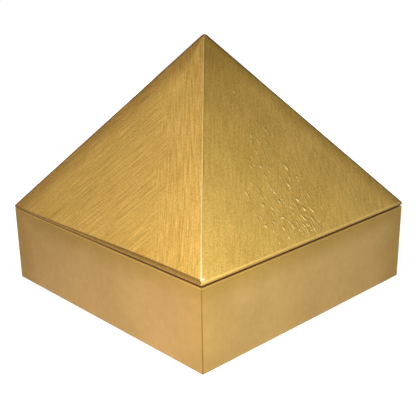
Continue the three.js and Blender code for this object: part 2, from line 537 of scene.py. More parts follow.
class WoodGrain(Effect):
    """Growth rings, cut as a board cuts them, with short dark pores along the grain."""

    name = "wood grain"
    inputs = {"Position": VECTOR, "Along": VECTOR, "Pith": VECTOR, "Ring": FLOAT, "Seed": FLOAT}
    outputs = {"Rings": FLOAT, "Fibres": FLOAT, "Pores": FLOAT}

    FIBRE_STRETCH = 0.12
    PORE_STRETCH = 0.06
    WOBBLES_TO_A_METRE = 28.0
    FIBRES_TO_A_METRE = 1900.0
    PORES_TO_A_METRE = 2600.0
    WOBBLE = mm(12)
    LATE_WOOD_POWER = 2.5
    RING_END = 0.93
    PORE_START = 0.68
    PORE_END = 0.78

    @classmethod
    def lay_out(cls, pad: NodePad, given: dict[str, Socket]) -> dict[str, Socket]:
        """Measures the distance from the pith and stretches noise along the grain.

        Args:
            pad: The group's pad.
            given: The group's inputs.

        Returns:
            The rings, the fibres and the pores, each from 0 to 1.
        """
        lengthwise = pad.scaled(given["Along"], pad.dot(given["Position"], given["Along"]))
        sectional = pad.vector("SUBTRACT", given["Position"], lengthwise).outputs[0]
        seed = pad.combined(given["Seed"], given["Seed"], given["Seed"])
        fibrous = pad.shifted(pad.shifted(sectional, pad.scaled(lengthwise, cls.FIBRE_STRETCH)), seed)
        porous = pad.shifted(pad.shifted(sectional, pad.scaled(lengthwise, cls.PORE_STRETCH)), seed)
        from_pith = pad.vector("DISTANCE", sectional, given["Pith"]).outputs["Value"]
        bent = pad.math("MULTIPLY_ADD", pad.noise(fibrous, cls.WOBBLES_TO_A_METRE), cls.WOBBLE, from_pith)
        ring = pad.math("FRACT", pad.math("DIVIDE", bent, given["Ring"]))
        late = pad.math("POWER", ring, cls.LATE_WOOD_POWER)
        specks = pad.noise(porous, cls.PORES_TO_A_METRE, detail=1)
        return {
            "Rings": pad.math("SUBTRACT", late, pad.remap(ring, cls.RING_END, 1.0), clamp=True),
            "Fibres": pad.noise(fibrous, cls.FIBRES_TO_A_METRE, roughness=0.6),
            "Pores": pad.remap(specks, cls.PORE_START, cls.PORE_END),
        }


@dataclass(frozen=True)
class Finish:
    """What every finish shares: a material with one Principled shader."""

    name: str

    def new_material(self) -> tuple[NodePad, bpy.types.Node]:
        """Makes the material.

        Returns:
            A pad on its tree, and its Principled shader.
        """
        made = bpy.data.materials.new(self.name)
        made.use_nodes = True
        shader = made.node_tree.nodes["Principled BSDF"]
        return NodePad(made.node_tree), shader

    def own_position(self, pad: NodePad) -> Socket:
        """Reads a point's place in the object's own frame, which is the box's frame at rest.

        Args:
            pad: The material's pad.

        Returns:
            The place, in metres.
        """
        return pad.add("ShaderNodeTexCoord").outputs["Object"]

    def material(self) -> bpy.types.Material:
        """Makes the material; each finish has its own."""
        raise NotImplementedError


@dataclass(frozen=True)
class Tone:
    """How much soft clouds, brush streaks and fine grain each vary a paint's tone."""

    clouds: float
    streaks: float
    grain: float
    grain_size: float = mm(1.0)


@dataclass(frozen=True)
class EdgeTintAndPaintedShade:
    """How paint looks along the hips and corners: a dark tint right at the edge, and soft painted shade round
    it.

    The front corner has front_share of the painted shade. The brow is the upper part of a side, with painted
    shade too, but less from paler_from to palest_at towards that corner.
    """

    tint: Colour
    reach: float
    strength: float
    shade_reach: float
    shade_strength: float
    brow_level: float
    brow_strength: float
    brow_reach: float = mm(14)
    paler_from: float = mm(25)
    palest_at: float = mm(72)
    palest_share: float = 0.85
    foot_level: float = -1.0
    front_share: float = 0.0
    # The colour that multiplies in the painted shade.
    shade: Colour = (0.55, 0.47, 0.36, 1.0)
    raggedness: float = 0.6
    grain: float = mm(4)
    clear_of_hip_light: float = mm(5)


@dataclass(frozen=True)
class PaintedHipLight:
    """Painted light and shade along the front corner's hip, the stronger towards the foot, where it turns to
    a painted glint.

    The line widens between spread_top and spread_full over its foot level, as far as foot_widening says.
    """

    tint: Colour
    reach: float
    strength: float
    foot_glint: Colour
    foot_widening: float = 0.0
    foot_top: float = mm(58)
    foot_level: float = mm(45)
    spread_top: float = mm(1.3)
    spread_full: float = mm(0.3)
    fade: float = mm(0.4)
    raggedness: float = 0.9
    grain: float = mm(3)


@dataclass(frozen=True)
class ArrisHighlight:
    """How paint looks along the upper edge of a wall: a painted highlight."""

    level: float
    reach: float = mm(0.7)
    softness: float = mm(0.25)
    strength: float = 0.6
    tint: Colour = colour(232, 190, 100)


@dataclass(frozen=True)
class BandTint:
    """How paint looks on the upright edge round the foot of the lid: darker and mottled, with painted light
    and shade along its crest and painted shade on its lip.

    Heights are measured from the lid's rim: up is the way square to the rim, and level is where the rim lies.
    A band that grows gets higher by grown the way that grows points, and its lip's painted shade comes in
    that way too.
    """

    up: Vector
    level: float
    top: float
    strength: float
    grows: Vector | None = None
    grown: float = 0.0
    grown_from: float = mm(-60)
    grown_to: float = mm(50)
    lip_from: float = mm(-30)
    lip_to: float = mm(30)
    waver: float = mm(0.3)
    softness: float = mm(0.25)
    tint: Colour = colour(140, 104, 46)
    tint_share: float = 0.65
    mottling: float = 0.6
    crest: float = mm(1.6)
    crest_width: float = mm(0.4)
    crest_softness: float = mm(0.2)
    crest_strength: float = 0.8
    crest_light_and_shade: Colour = colour(250, 212, 118)
    lip_top: float = mm(0.5)
    lip_softness: float = mm(0.15)
    painted_seam_shade: Colour = colour(72, 14, 4)


@dataclass(frozen=True)
class GoldPaint(Finish):
    """Gold paint with metal flake in it, brushed on by hand."""

    side: Side
    rise: float
    lays: tuple[StrokeLay, ...]
    deep: Colour
    bright: Colour
    metallic: float
    roughness: float
    coat: float
    streak_depth: float
    seed: float
    tone: Tone
    edge: EdgeTintAndPaintedShade
    band: BandTint | None = None
    hip_light: PaintedHipLight | None = None
    arris: ArrisHighlight | None = None
    cloud_size: float = mm(45)
    wander_size: float = mm(16)
    roughness_swing: float = 0.05
    specular: float = 0.4
    grazing_tint: Colour = colour(255, 232, 194)
    coat_roughness: float = 0.3
    grain_relief: float = 0.3
    flake_relief: float = 0.12

    FLAKES_TO_A_METRE = 2400.0
    TOWARDS_FRONT_CORNER = (-0.5, -0.5, 0.0)
    ALONG_THE_DIAGONAL = (1.0, -1.0, 0.0)
    CORNER_SOFTNESS = mm(0.3)

    def from_hips(self, pad: NodePad, position: Socket) -> Socket:
        """Measures the level distance from a place to the nearest hip or corner."""
        return pad.math("ABSOLUTE", pad.math("SUBTRACT", *pad.level_sizes(position)))

    def round_front_corner(self, pad: NodePad, position: Socket) -> Socket:
        """Masks the quarter of the box round its front left corner.

        Args:
            pad: The material's pad.
            position: The place to measure from.

        Returns:
            The mask, 1 round that corner.
        """
        towards_corner = pad.dot(position, self.TOWARDS_FRONT_CORNER)
        larger = pad.math("MAXIMUM", *pad.level_sizes(position))
        beyond_middle = pad.math("MULTIPLY_ADD", larger, -0.5, towards_corner)
        return pad.remap(beyond_middle, 0.0, self.CORNER_SOFTNESS)

    def painted_hip_light(self, pad: NodePad, position: Socket, tint: Socket) -> Socket:
        """Paints light and shade along the hip at the front corner, with a glint at its foot.

        Args:
            pad: The material's pad.
            position: The place to measure from.
            tint: The paint's colour.

        Returns:
            The colour with the painted light along the hip.
        """
        hip_light = self.hip_light
        height = pad.height(position)
        low = pad.remap(height, hip_light.foot_top, hip_light.foot_level)
        lowest = pad.remap(height, hip_light.foot_level + hip_light.spread_top, hip_light.foot_level + hip_light.spread_full)
        narrowed = pad.math("MULTIPLY_ADD", lowest, -hip_light.foot_widening, 1.0)
        line = pad.effect(
            RaggedEdge, Position=position, Seed=self.seed, Grain=hip_light.grain, Reach=hip_light.reach,
            Raggedness=hip_light.reach * hip_light.raggedness,
            Distance=pad.math("MULTIPLY", self.from_hips(pad, position), narrowed),
        ).outputs["Mask"]
        above_band = pad.remap(height, hip_light.foot_level - hip_light.fade, hip_light.foot_level)
        here = pad.math("MULTIPLY", self.round_front_corner(pad, position), above_band)
        strength = pad.math("MULTIPLY_ADD", low, 1 - hip_light.strength, hip_light.strength)
        share = pad.math("MULTIPLY", pad.math("MULTIPLY", line, here), strength)
        return pad.blend(share, tint, pad.blend(low, hip_light.tint, hip_light.foot_glint))

    def edge_mask(self, pad: NodePad, position: Socket) -> Socket:
        """Masks the hips, corners and lower edges, but not the hip that has its own painted light.

        Args:
            pad: The material's pad.
            position: The place to measure from.

        Returns:
            The mask, 1 at an edge.
        """
        edge = self.edge
        from_hip = self.from_hips(pad, position)
        if self.hip_light:
            front = self.round_front_corner(pad, position)
            from_hip = pad.math("MULTIPLY_ADD", front, edge.clear_of_hip_light, from_hip)
        from_foot = pad.math("SUBTRACT", pad.height(position), edge.foot_level)
        return pad.effect(
            RaggedEdge, Position=position, Distance=pad.math("MINIMUM", from_hip, from_foot),
            Reach=edge.reach, Raggedness=edge.reach * edge.raggedness, Grain=edge.grain, Seed=self.seed,
        ).outputs["Mask"]

    def shaded(self, pad: NodePad, position: Socket, tint: Socket) -> Socket:
        """Paints shade softly into the colour towards hips, corners and the brow of a side.

        Args:
            pad: The material's pad.
            position: The place to measure from.
            tint: The paint's colour.

        Returns:
            The deepened colour.
        """
        edge = self.edge
        # Painted shade: darker near hips and corners, at the front corner only by front_share, and along the
        # brow.
        near = pad.remap(self.from_hips(pad, position), 0.0, edge.shade_reach, edge.shade_strength, 0.0)
        front = self.round_front_corner(pad, position)
        elsewhere = pad.math("MULTIPLY_ADD", front, edge.front_share - 1, 1.0)
        brow_start = edge.brow_level - edge.brow_reach
        brow = pad.remap(pad.height(position), brow_start, edge.brow_level, 0.0, edge.brow_strength)
        towards_corner = pad.dot(position, self.TOWARDS_FRONT_CORNER)
        paleness = pad.remap(towards_corner, edge.palest_at, edge.paler_from, edge.palest_share, 1.0)
        brow = pad.math("MULTIPLY", brow, paleness)
        share = pad.math("MAXIMUM", pad.math("MULTIPLY", near, elsewhere), brow)
        return pad.blend(share, tint, edge.shade, "MULTIPLY")

    def streaks(self, pad: NodePad, position: Socket) -> Socket:
        """Adds up the lays of brush strokes.

        Args:
            pad: The material's pad.
            position: Where to read them.

        Returns:
            Their height, about 0 to 1.
        """
        diagonal = pad.math("ABSOLUTE", pad.dot(position, self.ALONG_THE_DIAGONAL))
        wander = pad.effect(Clouds, Position=position, Size=self.wander_size, Seed=self.seed).outputs["Tone"]
        from_hip = pad.math("MULTIPLY_ADD", wander, StrokeLay.WANDER * 2, diagonal)
        total: Value = 0.0
        for lay in self.lays:
            across, along = lay.directions(self.side, self.rise)
            height = pad.effect(
                BrushStrokes, Position=position, Across=across, Along=along,
                Width=lay.fine_width, Length=lay.fine_length, Seed=lay.seed,
            ).outputs["Height"]
            share = pad.remap(from_hip, lay.near + StrokeLay.WANDER, lay.far + StrokeLay.WANDER)
            if lay.fades_out:
                share = pad.opposite(share)
            total = pad.math("MULTIPLY_ADD", height, share, total)
        return total

    def banded(self, pad: NodePad, position: Socket, tint: Socket, fine: Socket) -> Socket:
        """Darkens and mottles the upright edge round the foot of the lid, with painted light and shade on its
        crest and painted shade on its lip.

        Args:
            pad: The material's pad.
            position: Where to read it.
            tint: The paint's colour.
            fine: Fine uneven patches.

        Returns:
            The colour with the duller edge.
        """
        band = self.band
        from_rim = pad.math("SUBTRACT", pad.dot(position, band.up), band.level)
        height = from_rim
        lip: Value = 1.0
        if band.grows:
            along = pad.dot(position, band.grows)
            wider = pad.remap(along, band.grown_from, band.grown_to, 0.0, band.grown)
            lip = pad.remap(along, band.lip_from, band.lip_to)
            height = pad.math("SUBTRACT", from_rim, wider)
        wavering = pad.math("MULTIPLY_ADD", fine, band.waver, height)
        above = pad.remap(wavering, band.top, band.top + band.softness)
        below = pad.math("MULTIPLY", pad.opposite(above), band.strength)
        mottle = pad.math("MULTIPLY_ADD", fine, band.mottling, band.tint_share)
        dulled = pad.blend(pad.math("MULTIPLY", below, mottle, clamp=True), tint, band.tint)
        # The crest is a painted highlight on the front and back, and painted shade on the left and right.
        from_crest = pad.math("ABSOLUTE", pad.math("SUBTRACT", height, band.crest))
        half = band.crest_width / 2
        crest = pad.remap(from_crest, half, half + band.crest_softness, band.crest_strength, 0.0)
        # The lip is painted shade, along the seam between lid and base.
        on_lip = pad.remap(from_rim, band.lip_top, band.lip_top + band.lip_softness, 1.0, 0.0)
        crested = pad.blend(crest, dulled, band.crest_light_and_shade)
        return pad.blend(pad.math("MULTIPLY", on_lip, lip), crested, band.painted_seam_shade)

    def painted_arris_highlight(self, pad: NodePad, position: Socket, tint: Socket) -> Socket:
        """Paints a highlight along the upper edge of a wall.

        Args:
            pad: The material's pad.
            position: Where to read it.
            tint: The paint's colour.

        Returns:
            The colour with the brighter edge.
        """
        start = self.arris.level - self.arris.reach
        end = start + self.arris.softness
        painted_highlight = pad.remap(pad.height(position), start, end, 0.0, self.arris.strength)
        return pad.blend(painted_highlight, tint, self.arris.tint)

    def material(self) -> bpy.types.Material:
        """Makes the paint.

        Returns:
            The material.
        """
        pad, shader = self.new_material()
        position = self.own_position(pad)
        streaks = self.streaks(pad, position)
        clouds = pad.effect(Clouds, Position=position, Size=self.cloud_size, Seed=self.seed).outputs["Tone"]
        fine = pad.effect(
            Clouds, Position=position, Size=self.tone.grain_size, Seed=self.seed + 1
        ).outputs["Tone"]
        tone = pad.math("MULTIPLY", streaks, self.tone.streaks)
        tone = pad.math("MULTIPLY_ADD", clouds, self.tone.clouds, tone)
        tone = pad.math("MULTIPLY_ADD", fine, self.tone.grain, tone)
        tint = pad.blend(tone, self.deep, self.bright)
        # The band's darker tint, with painted light and shade on its crest and painted shade on its lip.
        if self.band:
            tint = self.banded(pad, position, tint, fine)
        # Painted shade towards the hips, corners and brow.
        tint = self.shaded(pad, position, tint)
        edge = self.edge_mask(pad, position)
        tint = pad.blend(pad.math("MULTIPLY", edge, self.edge.strength), tint, self.edge.tint)
        # Painted light and shade along the front corner's hip.
        if self.hip_light:
            tint = self.painted_hip_light(pad, position, tint)
        # A painted highlight along the upper edge of a wall.
        if self.arris:
            tint = self.painted_arris_highlight(pad, position, tint)
        rough = pad.math("MULTIPLY_ADD", fine, -self.roughness_swing, self.roughness)
        relief = pad.math("MULTIPLY_ADD", fine, self.grain_relief, streaks)
        flake = pad.noise(position, self.FLAKES_TO_A_METRE, detail=1)
        relief = pad.math("MULTIPLY_ADD", flake, self.flake_relief, relief)
        pad.feed(shader, {
            "Base Color": tint,
            "Metallic": self.metallic,
            "Roughness": pad.math("MULTIPLY_ADD", edge, -self.roughness_swing, rough),
            "Specular IOR Level": self.specular,
            "Specular Tint": self.grazing_tint,
            "Coat Weight": self.coat,
            "Coat Roughness": self.coat_roughness,
            "Normal": pad.bump(relief, self.streak_depth),
        })
        return bpy.data.materials[self.name]


@dataclass(frozen=True)
class BareWood(Finish):
    """Sanded pale wood, with a dark red first coat strayed over its outer edges, which also paints shade into
    the seam between lid and base.
    """

    along: Vector
    pith: Vector
    seed: float
    overpaint: float
    half_side: float
    light: Colour = colour(214, 180, 132)
    dark: Colour = colour(160, 114, 68)
    pore: Colour = colour(112, 74, 40)
    # Dark red paint on the rims, which also stands in for painted shade in the seam between lid and base.
    undercoat_and_seam_shade: Colour = colour(100, 32, 14)
    ring: float = mm(3.4)
    cloud_size: float = mm(30)
    ring_tone: float = 0.55
    fibre_tone: float = 0.25
    cloud_tone: float = 0.2
    pore_strength: float = 0.55
    roughness: float = 0.7
    late_wood_polish: float = 0.08
    undercoat_polish: float = 0.2
    relief: float = mm(0.06)
    relief_strength: float = 0.8
    raggedness: float = mm(3.2)
    ragged_grain: float = mm(6)

    def painted(self, pad: NodePad, position: Socket) -> Socket:
        """Finds where paint has strayed over the rim.

        Args:
            pad: The material's pad.
            position: Where to read it.

        Returns:
            The paint's mask.
        """
        outward = pad.math("MAXIMUM", *pad.level_sizes(position))
        return pad.effect(
            RaggedEdge, Position=position, Distance=pad.math("SUBTRACT", self.half_side, outward),
            Reach=self.overpaint, Raggedness=self.raggedness, Grain=self.ragged_grain, Seed=self.seed,
        ).outputs["Mask"]

    def material(self) -> bpy.types.Material:
        """Makes the wood.

        Returns:
            The material.
        """
        pad, shader = self.new_material()
        position = self.own_position(pad)
        rings, fibres, pores = pad.effect(
            WoodGrain, Position=position, Along=self.along, Pith=self.pith, Ring=self.ring, Seed=self.seed
        ).outputs
        clouds = pad.effect(Clouds, Position=position, Size=self.cloud_size, Seed=self.seed).outputs["Tone"]
        tone = pad.math("MULTIPLY", clouds, self.cloud_tone)
        tone = pad.math("MULTIPLY_ADD", rings, self.ring_tone, tone)
        tone = pad.math("MULTIPLY_ADD", fibres, self.fibre_tone, tone)
        wood = pad.blend(tone, self.light, self.dark)
        wood = pad.blend(pad.math("MULTIPLY", pores, self.pore_strength), wood, self.pore)
        painted = self.painted(pad, position)
        rough = pad.math("MULTIPLY_ADD", rings, -self.late_wood_polish, self.roughness)
        raised = pad.math("SUBTRACT", fibres, pores)
        pad.feed(shader, {
            "Base Color": pad.blend(painted, wood, self.undercoat_and_seam_shade),
            "Roughness": pad.math("MULTIPLY_ADD", painted, -self.undercoat_polish, rough),
            "Normal": pad.bump(raised, self.relief, self.relief_strength),
        })
        return bpy.data.materials[self.name]


@dataclass(frozen=True)
class Brass(Finish):
    """Brass that has gone a little dull, with fine rub marks."""

    along: Vector
    rub_width: float
    roughness: float
    seed: float
    clean: Colour = colour(214, 178, 104)
    dull: Colour = colour(150, 116, 62)
    cloud_size: float = mm(4)
    rub_length: float = mm(9)
    cloud_tone: float = 0.6
    rub_tone: float = 0.3
    dull_roughness: float = 0.22
    relief: float = mm(0.01)
    relief_strength: float = 0.6

    def material(self) -> bpy.types.Material:
        """Makes the brass.

        Returns:
            The material.
        """
        pad, shader = self.new_material()
        position = self.own_position(pad)
        clouds = pad.effect(Clouds, Position=position, Size=self.cloud_size, Seed=self.seed).outputs["Tone"]
        rubs = pad.effect(
            BrushStrokes, Position=position, Across=self.along.orthogonal().normalized(), Along=self.along,
            Width=self.rub_width, Length=self.rub_length, Seed=self.seed,
        ).outputs["Height"]
        dulled = pad.math("MULTIPLY_ADD", clouds, self.cloud_tone, pad.math("MULTIPLY", rubs, self.rub_tone))
        pad.feed(shader, {
            "Base Color": pad.blend(dulled, self.clean, self.dull),
            "Metallic": 1.0,
            "Roughness": pad.math("MULTIPLY_ADD", dulled, self.dull_roughness, self.roughness),
            "Normal": pad.bump(rubs, self.relief, self.relief_strength),
        })
        return bpy.data.materials[self.name]


@dataclass
class MeshDraft:
    """Points and faces gathered for one closed mesh, with each face anticlockwise from outside."""

    points: list[np.ndarray] = field(default_factory=list)
    faces: list[np.ndarray] = field(default_factory=list)
    count: int = 0

    SHARP_FROM_DEGREES = 40

    def add_points(self, points: np.ndarray) -> np.ndarray:
        """Adds an array of points.

        Args:
            points: Points, with the coordinates on the last axis.

        Returns:
            Their numbers, in the same arrangement.
        """
        flat = points.reshape(-1, 3)
        numbers = np.arange(self.count, self.count + len(flat)).reshape(points.shape[:-1])
        self.points.append(flat)
        self.count += len(flat)
        return numbers

    def add_faces(self, *corners: np.ndarray) -> None:
        """Adds faces with the same number of corners, each argument holding one corner of them all."""
        self.faces.append(np.stack(corners, -1))

    def add_polygon(self, corners: np.ndarray) -> None:
        """Adds one face with any number of corners."""
        self.faces.append(corners.reshape(1, -1))

    def add_strip(self, below: np.ndarray, above: np.ndarray) -> None:
        """Joins two rows of equal length with four-cornered faces."""
        self.add_faces(below[:-1], below[1:], above[1:], above[:-1])

    def add_lattice(self, below: np.ndarray, above: np.ndarray, corner_steps: int) -> None:
        """Joins a row to the next one up, which has one point less between its corners.

        Args:
            below: Numbers of the lower row's points.
            above: Numbers of the upper row's points.
            corner_steps: How many steps round the corner each end of a row has.
        """
        self.add_strip(below[:corner_steps + 1], above[:corner_steps + 1])
        self.add_strip(below[-corner_steps - 1:], above[-corner_steps - 1:])
        low = below[corner_steps:len(below) - corner_steps]
        high = above[corner_steps:len(above) - corner_steps]
        self.add_faces(low[:-1], low[1:], high)
        self.add_faces(low[1:-1], high[1:], high[:-1])

    def add_shell(self, outer: np.ndarray, inner: np.ndarray, kept: np.ndarray, open_top: bool) -> None:
        """Adds a thin grid with thickness, and the walls round its edge and its gaps.

        Args:
            outer: Numbers of the outer points, by row and column.
            inner: Numbers of the inner points beneath them.
            kept: Which cells of the grid are there, by row and column.
            open_top: True where another surface goes on from the top row.
        """
        row, column = np.nonzero(kept)
        ring = ((row, column), (row, column + 1), (row + 1, column + 1), (row + 1, column))
        self.add_faces(*(outer[place] for place in ring))
        self.add_faces(*(inner[place] for place in reversed(ring)))
        padded = np.pad(kept, 1)
        for edge, (rows_on, columns_on) in enumerate(((-1, 0), (0, 1), (1, 0), (0, -1))):
            start, end = ring[edge], ring[(edge + 1) % 4]
            bare = ~padded[row + 1 + rows_on, column + 1 + columns_on]
            if open_top and rows_on == 1:
                bare &= row + 1 < kept.shape[0]
            self.add_faces(*(corner[bare] for corner in (outer[end], outer[start], inner[start], inner[end])))

    def build(self, name: str, place: Matrix) -> bpy.types.Object:
        """Makes the object, shaded smooth but for its sharp edges.

        Args:
            name: The object's name.
            place: Where the draft's own frame lies in the box's.

        Returns:
            The object.
        """
        points = np.concatenate(self.points)
        corners = np.concatenate([faces.ravel() for faces in self.faces])
        sizes = np.concatenate([np.full(len(faces), faces.shape[1]) for faces in self.faces])
        used, renumbered = np.unique(corners, return_inverse=True)
        made = bpy.data.meshes.new(name)
        made.vertices.add(len(used))
        made.vertices.foreach_set("co", points[used].astype(np.float32).ravel())
        made.loops.add(len(corners))
        made.loops.foreach_set("vertex_index", renumbered.astype(np.int32))
        made.polygons.add(len(sizes))
        made.polygons.foreach_set("loop_start", (np.cumsum(sizes) - sizes).astype(np.int32))
        made.update(calc_edges=True)
        made.transform(place)
        made.shade_smooth()
        made.set_sharp_from_angle(angle=math.radians(self.SHARP_FROM_DEGREES))
        built = bpy.data.objects.new(name, made)
        bpy.context.scene.collection.objects.link(built)
        return built


@dataclass(frozen=True)
class Columns:
    """The columns of points across one side, from the middle of one corner to the middle of the next.

    across runs from -1 to 1 over the straight part, and turn is how far a column has gone round a corner, in
    radians. Each end goes past the corner's middle by OVERLAP, so that no gap shows between two coats. The
    columns at the stops keep one distance from the middle in every row.
    """

    across: np.ndarray
    turn: np.ndarray
    stops: tuple[float, ...] = ()
    stop_shares: tuple[float, ...] = ()

    OVERLAP = 0.003

    @classmethod
    def spread(
        cls, segments: int, corner_steps: int, half_side: float = 1.0, stops: tuple[float, ...] = ()
    ) -> "Columns":
        """Spreads columns over a side.

        Args:
            segments: How many steps the straight part has.
            corner_steps: How many steps each end has, round half a corner.
            half_side: Half the side's length.
            stops: Distances from the middle that get a column of their own.

        Returns:
            The columns.
        """
        corner = np.linspace(math.pi / 4 + cls.OVERLAP, 0, corner_steps + 1)[:-1]
        ends = np.ones(corner_steps)
        across = np.concatenate([-ends, np.linspace(-1, 1, segments + 1), ends])
        turn = np.concatenate([-corner, np.zeros(segments + 1), corner[::-1]])
        shares = tuple(round(stop / half_side * segments / 2) * 2 / segments for stop in stops)
        return cls(across, turn, stops, shares)

    def place(self, reach: Lengths, radius: Lengths, height: Lengths, sunk: Lengths = 0.0) -> np.ndarray:
        """Places the columns' points on a side that faces the front.

        Args:
            reach: Distances of the side from the axis, by row and column, or one for all.
            radius: Radii of the corners, likewise.
            height: Heights, likewise.
            sunk: How far a point is drawn in from the corner's round, likewise.

        Returns:
            The points, by row and column.
        """
        half = reach - radius
        size = np.abs(self.across)
        flat = size * half
        if self.stops:
            inside = np.interp(size, (0, *self.stop_shares), (0, *self.stops))
            last_share, last = self.stop_shares[-1], self.stops[-1]
            beyond = last + (size - last_share) / (1 - last_share) * (half - last)
            flat = np.where(size > last_share, beyond, inside)
        x = np.sign(self.across) * flat + (radius - sunk) * np.sin(self.turn)
        y = -half - (radius - sunk) * np.cos(self.turn)
        return np.stack(np.broadcast_arrays(x, y, height), -1)

    def between(self, points: np.ndarray) -> np.ndarray:
        """Finds the cells between the stops.

        Args:
            points: One row of points.

        Returns:
            True for each cell that lies between the two stops, on either half of the side.
        """
        middles = np.abs(points[1:, 0] + points[:-1, 0]) / 2
        return (middles > self.stops[0]) & (middles < self.stops[-1])


@dataclass(frozen=True)
class HingePlaces:
    """Where the hinge leaves are let into the back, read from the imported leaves, with some clearance."""

    clearance: float = mm(0.1)

    @property
    def floor(self) -> float:
        """The height of the mortises' floor in the base."""
        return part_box("right_hinge_base_leaf")[0].z - self.clearance

    @property
    def stops(self) -> tuple[float, float]:
        """The mortises' inner and outer edges, as distances from the middle of the back."""
        lowest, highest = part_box("right_hinge_base_leaf")
        return lowest.x - self.clearance, highest.x + self.clearance


@dataclass
class LidCoat:
    """The paint on the outside of the lid, one coat to a side, in the lid's own frame, up from its rim.

    A coat has a foot, which takes in the lid's lower edge, its upright band and the turn into the slope, and
    above it the slope and the rounded tip. Its inner surface lies over the wood by the bedding and its outer
    one by the thickness. The turn's radius is hip_rounding at the hips and foot_rounding between them.
    """

    half_side: float
    pin: Vector
    hinges: HingePlaces
    lays: dict[Side, tuple[StrokeLay, ...]]
    seam_at_hinge: float = mm(0.2)
    seam_at_front: float = mm(0.6)
    band_height: float = mm(1.3)
    slope_height: float = mm(93)
    edge_radius: float = mm(0.4)
    corner_radius: float = mm(0.6)
    tip_flat: float = mm(1.6)
    tip_radius: float = mm(1.6)
    thickness: float = mm(0.15)
    bedding: float = mm(0.01)
    foot_height: float = mm(2.05)
    hip_rounding: float = mm(0.8)
    segments: int = 300
    corner_steps: int = 6
    foot_rounding: dict[Side, float] = field(default_factory=lambda: {
        Side.LEFT: mm(2.0), Side.FRONT: mm(0.7), Side.RIGHT: mm(1.2), Side.BACK: mm(0.6),
    })

    EDGE_TURN_DEGREES = 80
    EDGE_ROWS = 5
    BAND_SHARES = (0.35, 0.7)
    HIP_SHARES = (0.005, 0.08)
    LEFT_SHARES = (-0.8, 0.6)
    LEAST_ON_LEFT = 0.1
    BEDDING_SHARPER = 10
    SMOOTH_HIP = mm(1.5)
    SMOOTH_FOOT = mm(0.9)
    FULL_RELIEF = mm(3)
    TIP_SEGMENTS = 2
    TIP_SHARES = (0.75, 0.5, 0.25)
    TIP_CORNER = 0.9

    @property
    def rise(self) -> float:
        """The slopes' angle against the rim."""
        return math.atan2(self.slope_height, self.half_side)

    @property
    def place(self) -> Matrix:
        """Where the lid's own frame lies at rest: hung from the pins, and a little high at the front."""
        tilt = math.atan2(self.seam_at_front - self.seam_at_hinge, self.half_side + self.pin.y)
        below = Matrix.Translation((0, -self.pin.y, self.seam_at_hinge / 2))
        return Matrix.Translation(self.pin) @ Matrix.Rotation(-tilt, 4, "X") @ below

    def on_slope(self, u: np.ndarray, v: np.ndarray, lift: np.ndarray) -> np.ndarray:
        """Places points on the front slope.

        Args:
            u: Places across the slope, from its middle.
            v: Places up the slope, from the top of the upright band.
            lift: Heights over the wood.

        Returns:
            The points.
        """
        y = -self.half_side + v * math.cos(self.rise) - lift * math.sin(self.rise)
        z = self.band_height + v * math.sin(self.rise) + lift * math.cos(self.rise)
        return np.stack(np.broadcast_arrays(u, y, z), -1)

    def slope_reach(self, height: float, coat: float) -> float:
        """How far a slope stands from the axis at a height, with a coat of a given thickness."""
        level = self.half_side + coat / math.sin(self.rise)
        return level - (height - self.band_height) / math.tan(self.rise)

    def foot(self, columns: Columns, coat: float, rounding: np.ndarray) -> np.ndarray:
        """Shapes the foot of a side: the lower edge, the upright band and the turn into the slope.

        Args:
            columns: The side's columns.
            coat: The coat's thickness over the wood.
            rounding: The radius of the turn into the slope, by column.

        Returns:
            The points, by row and column.
        """
        ones = np.ones(len(columns.turn))
        outermost = self.half_side + coat
        corner = self.band_height + coat * (1 / math.cos(self.rise) - math.tan(self.rise))
        upright = math.pi / 2 - self.rise
        turn_start = corner - rounding * math.tan(upright / 2)
        rows = []
        for angle in np.radians(np.linspace(self.EDGE_TURN_DEGREES, 0, self.EDGE_ROWS)):
            reach = self.half_side - self.edge_radius + (self.edge_radius + coat) * math.cos(angle)
            radius = reach - self.half_side + self.corner_radius
            rows.append((reach * ones, radius * ones, self.edge_radius * (1 - math.sin(angle)) * ones))
        radius = (self.corner_radius + coat) * ones
        for share in self.BAND_SHARES:
            height = self.edge_radius + (turn_start - self.edge_radius) * share
            rows.append((outermost * ones, radius, height))
        for angle in np.linspace(0, upright, self.EDGE_ROWS):
            reach = outermost - rounding * (1 - math.cos(angle))
            rows.append((reach, radius, turn_start + rounding * math.sin(angle)))
        rows.append((self.slope_reach(self.foot_height, coat) * ones, radius, self.foot_height * ones))
        reach, radius, height = (np.stack(values) for values in zip(*rows))
        return columns.place(reach, radius, height)

    def rounding(self, side: Side, columns: Columns) -> np.ndarray:
        """Works out the turn's radius across a side, alike for all sides at the hips.

        Args:
            side: The side; on the left one the turn grows towards the front.
            columns: The side's columns.

        Returns:
            The radius by column.
        """
        share = smoothstep(1 - np.abs(columns.across), *self.HIP_SHARES)
        if side is Side.LEFT:
            growth = smoothstep(columns.across, *self.LEFT_SHARES)
            share = share * (self.LEAST_ON_LEFT + (1 - self.LEAST_ON_LEFT) * growth)
        return self.hip_rounding + (self.foot_rounding[side] - self.hip_rounding) * share

    def with_relief(self, side: Side, row: np.ndarray, height: float, half: float) -> np.ndarray:
        """Raises and sinks a row of points as the brush left the paint.

        Args:
            side: The side.
            row: The row's points.
            height: The row's height.
            half: Half the length of the row's straight part.

        Returns:
            The moved points.
        """
        u = row[:, 0]
        v = np.full(len(u), (height - self.band_height) / math.sin(self.rise))
        reach = self.slope_reach(height, self.thickness)
        from_hip = reach - u if side.hip_is_right else reach + u
        lift = sum(lay.relief(u, v, from_hip) for lay in self.lays[side])
        lift = lift * smoothstep(half - np.abs(u), 0, self.SMOOTH_HIP)
        lift = lift * smoothstep(v, self.SMOOTH_FOOT, self.FULL_RELIEF)
        moved = row.copy()
        moved[:, 1] -= lift * math.sin(self.rise)
        moved[:, 2] += lift * math.cos(self.rise)
        return moved

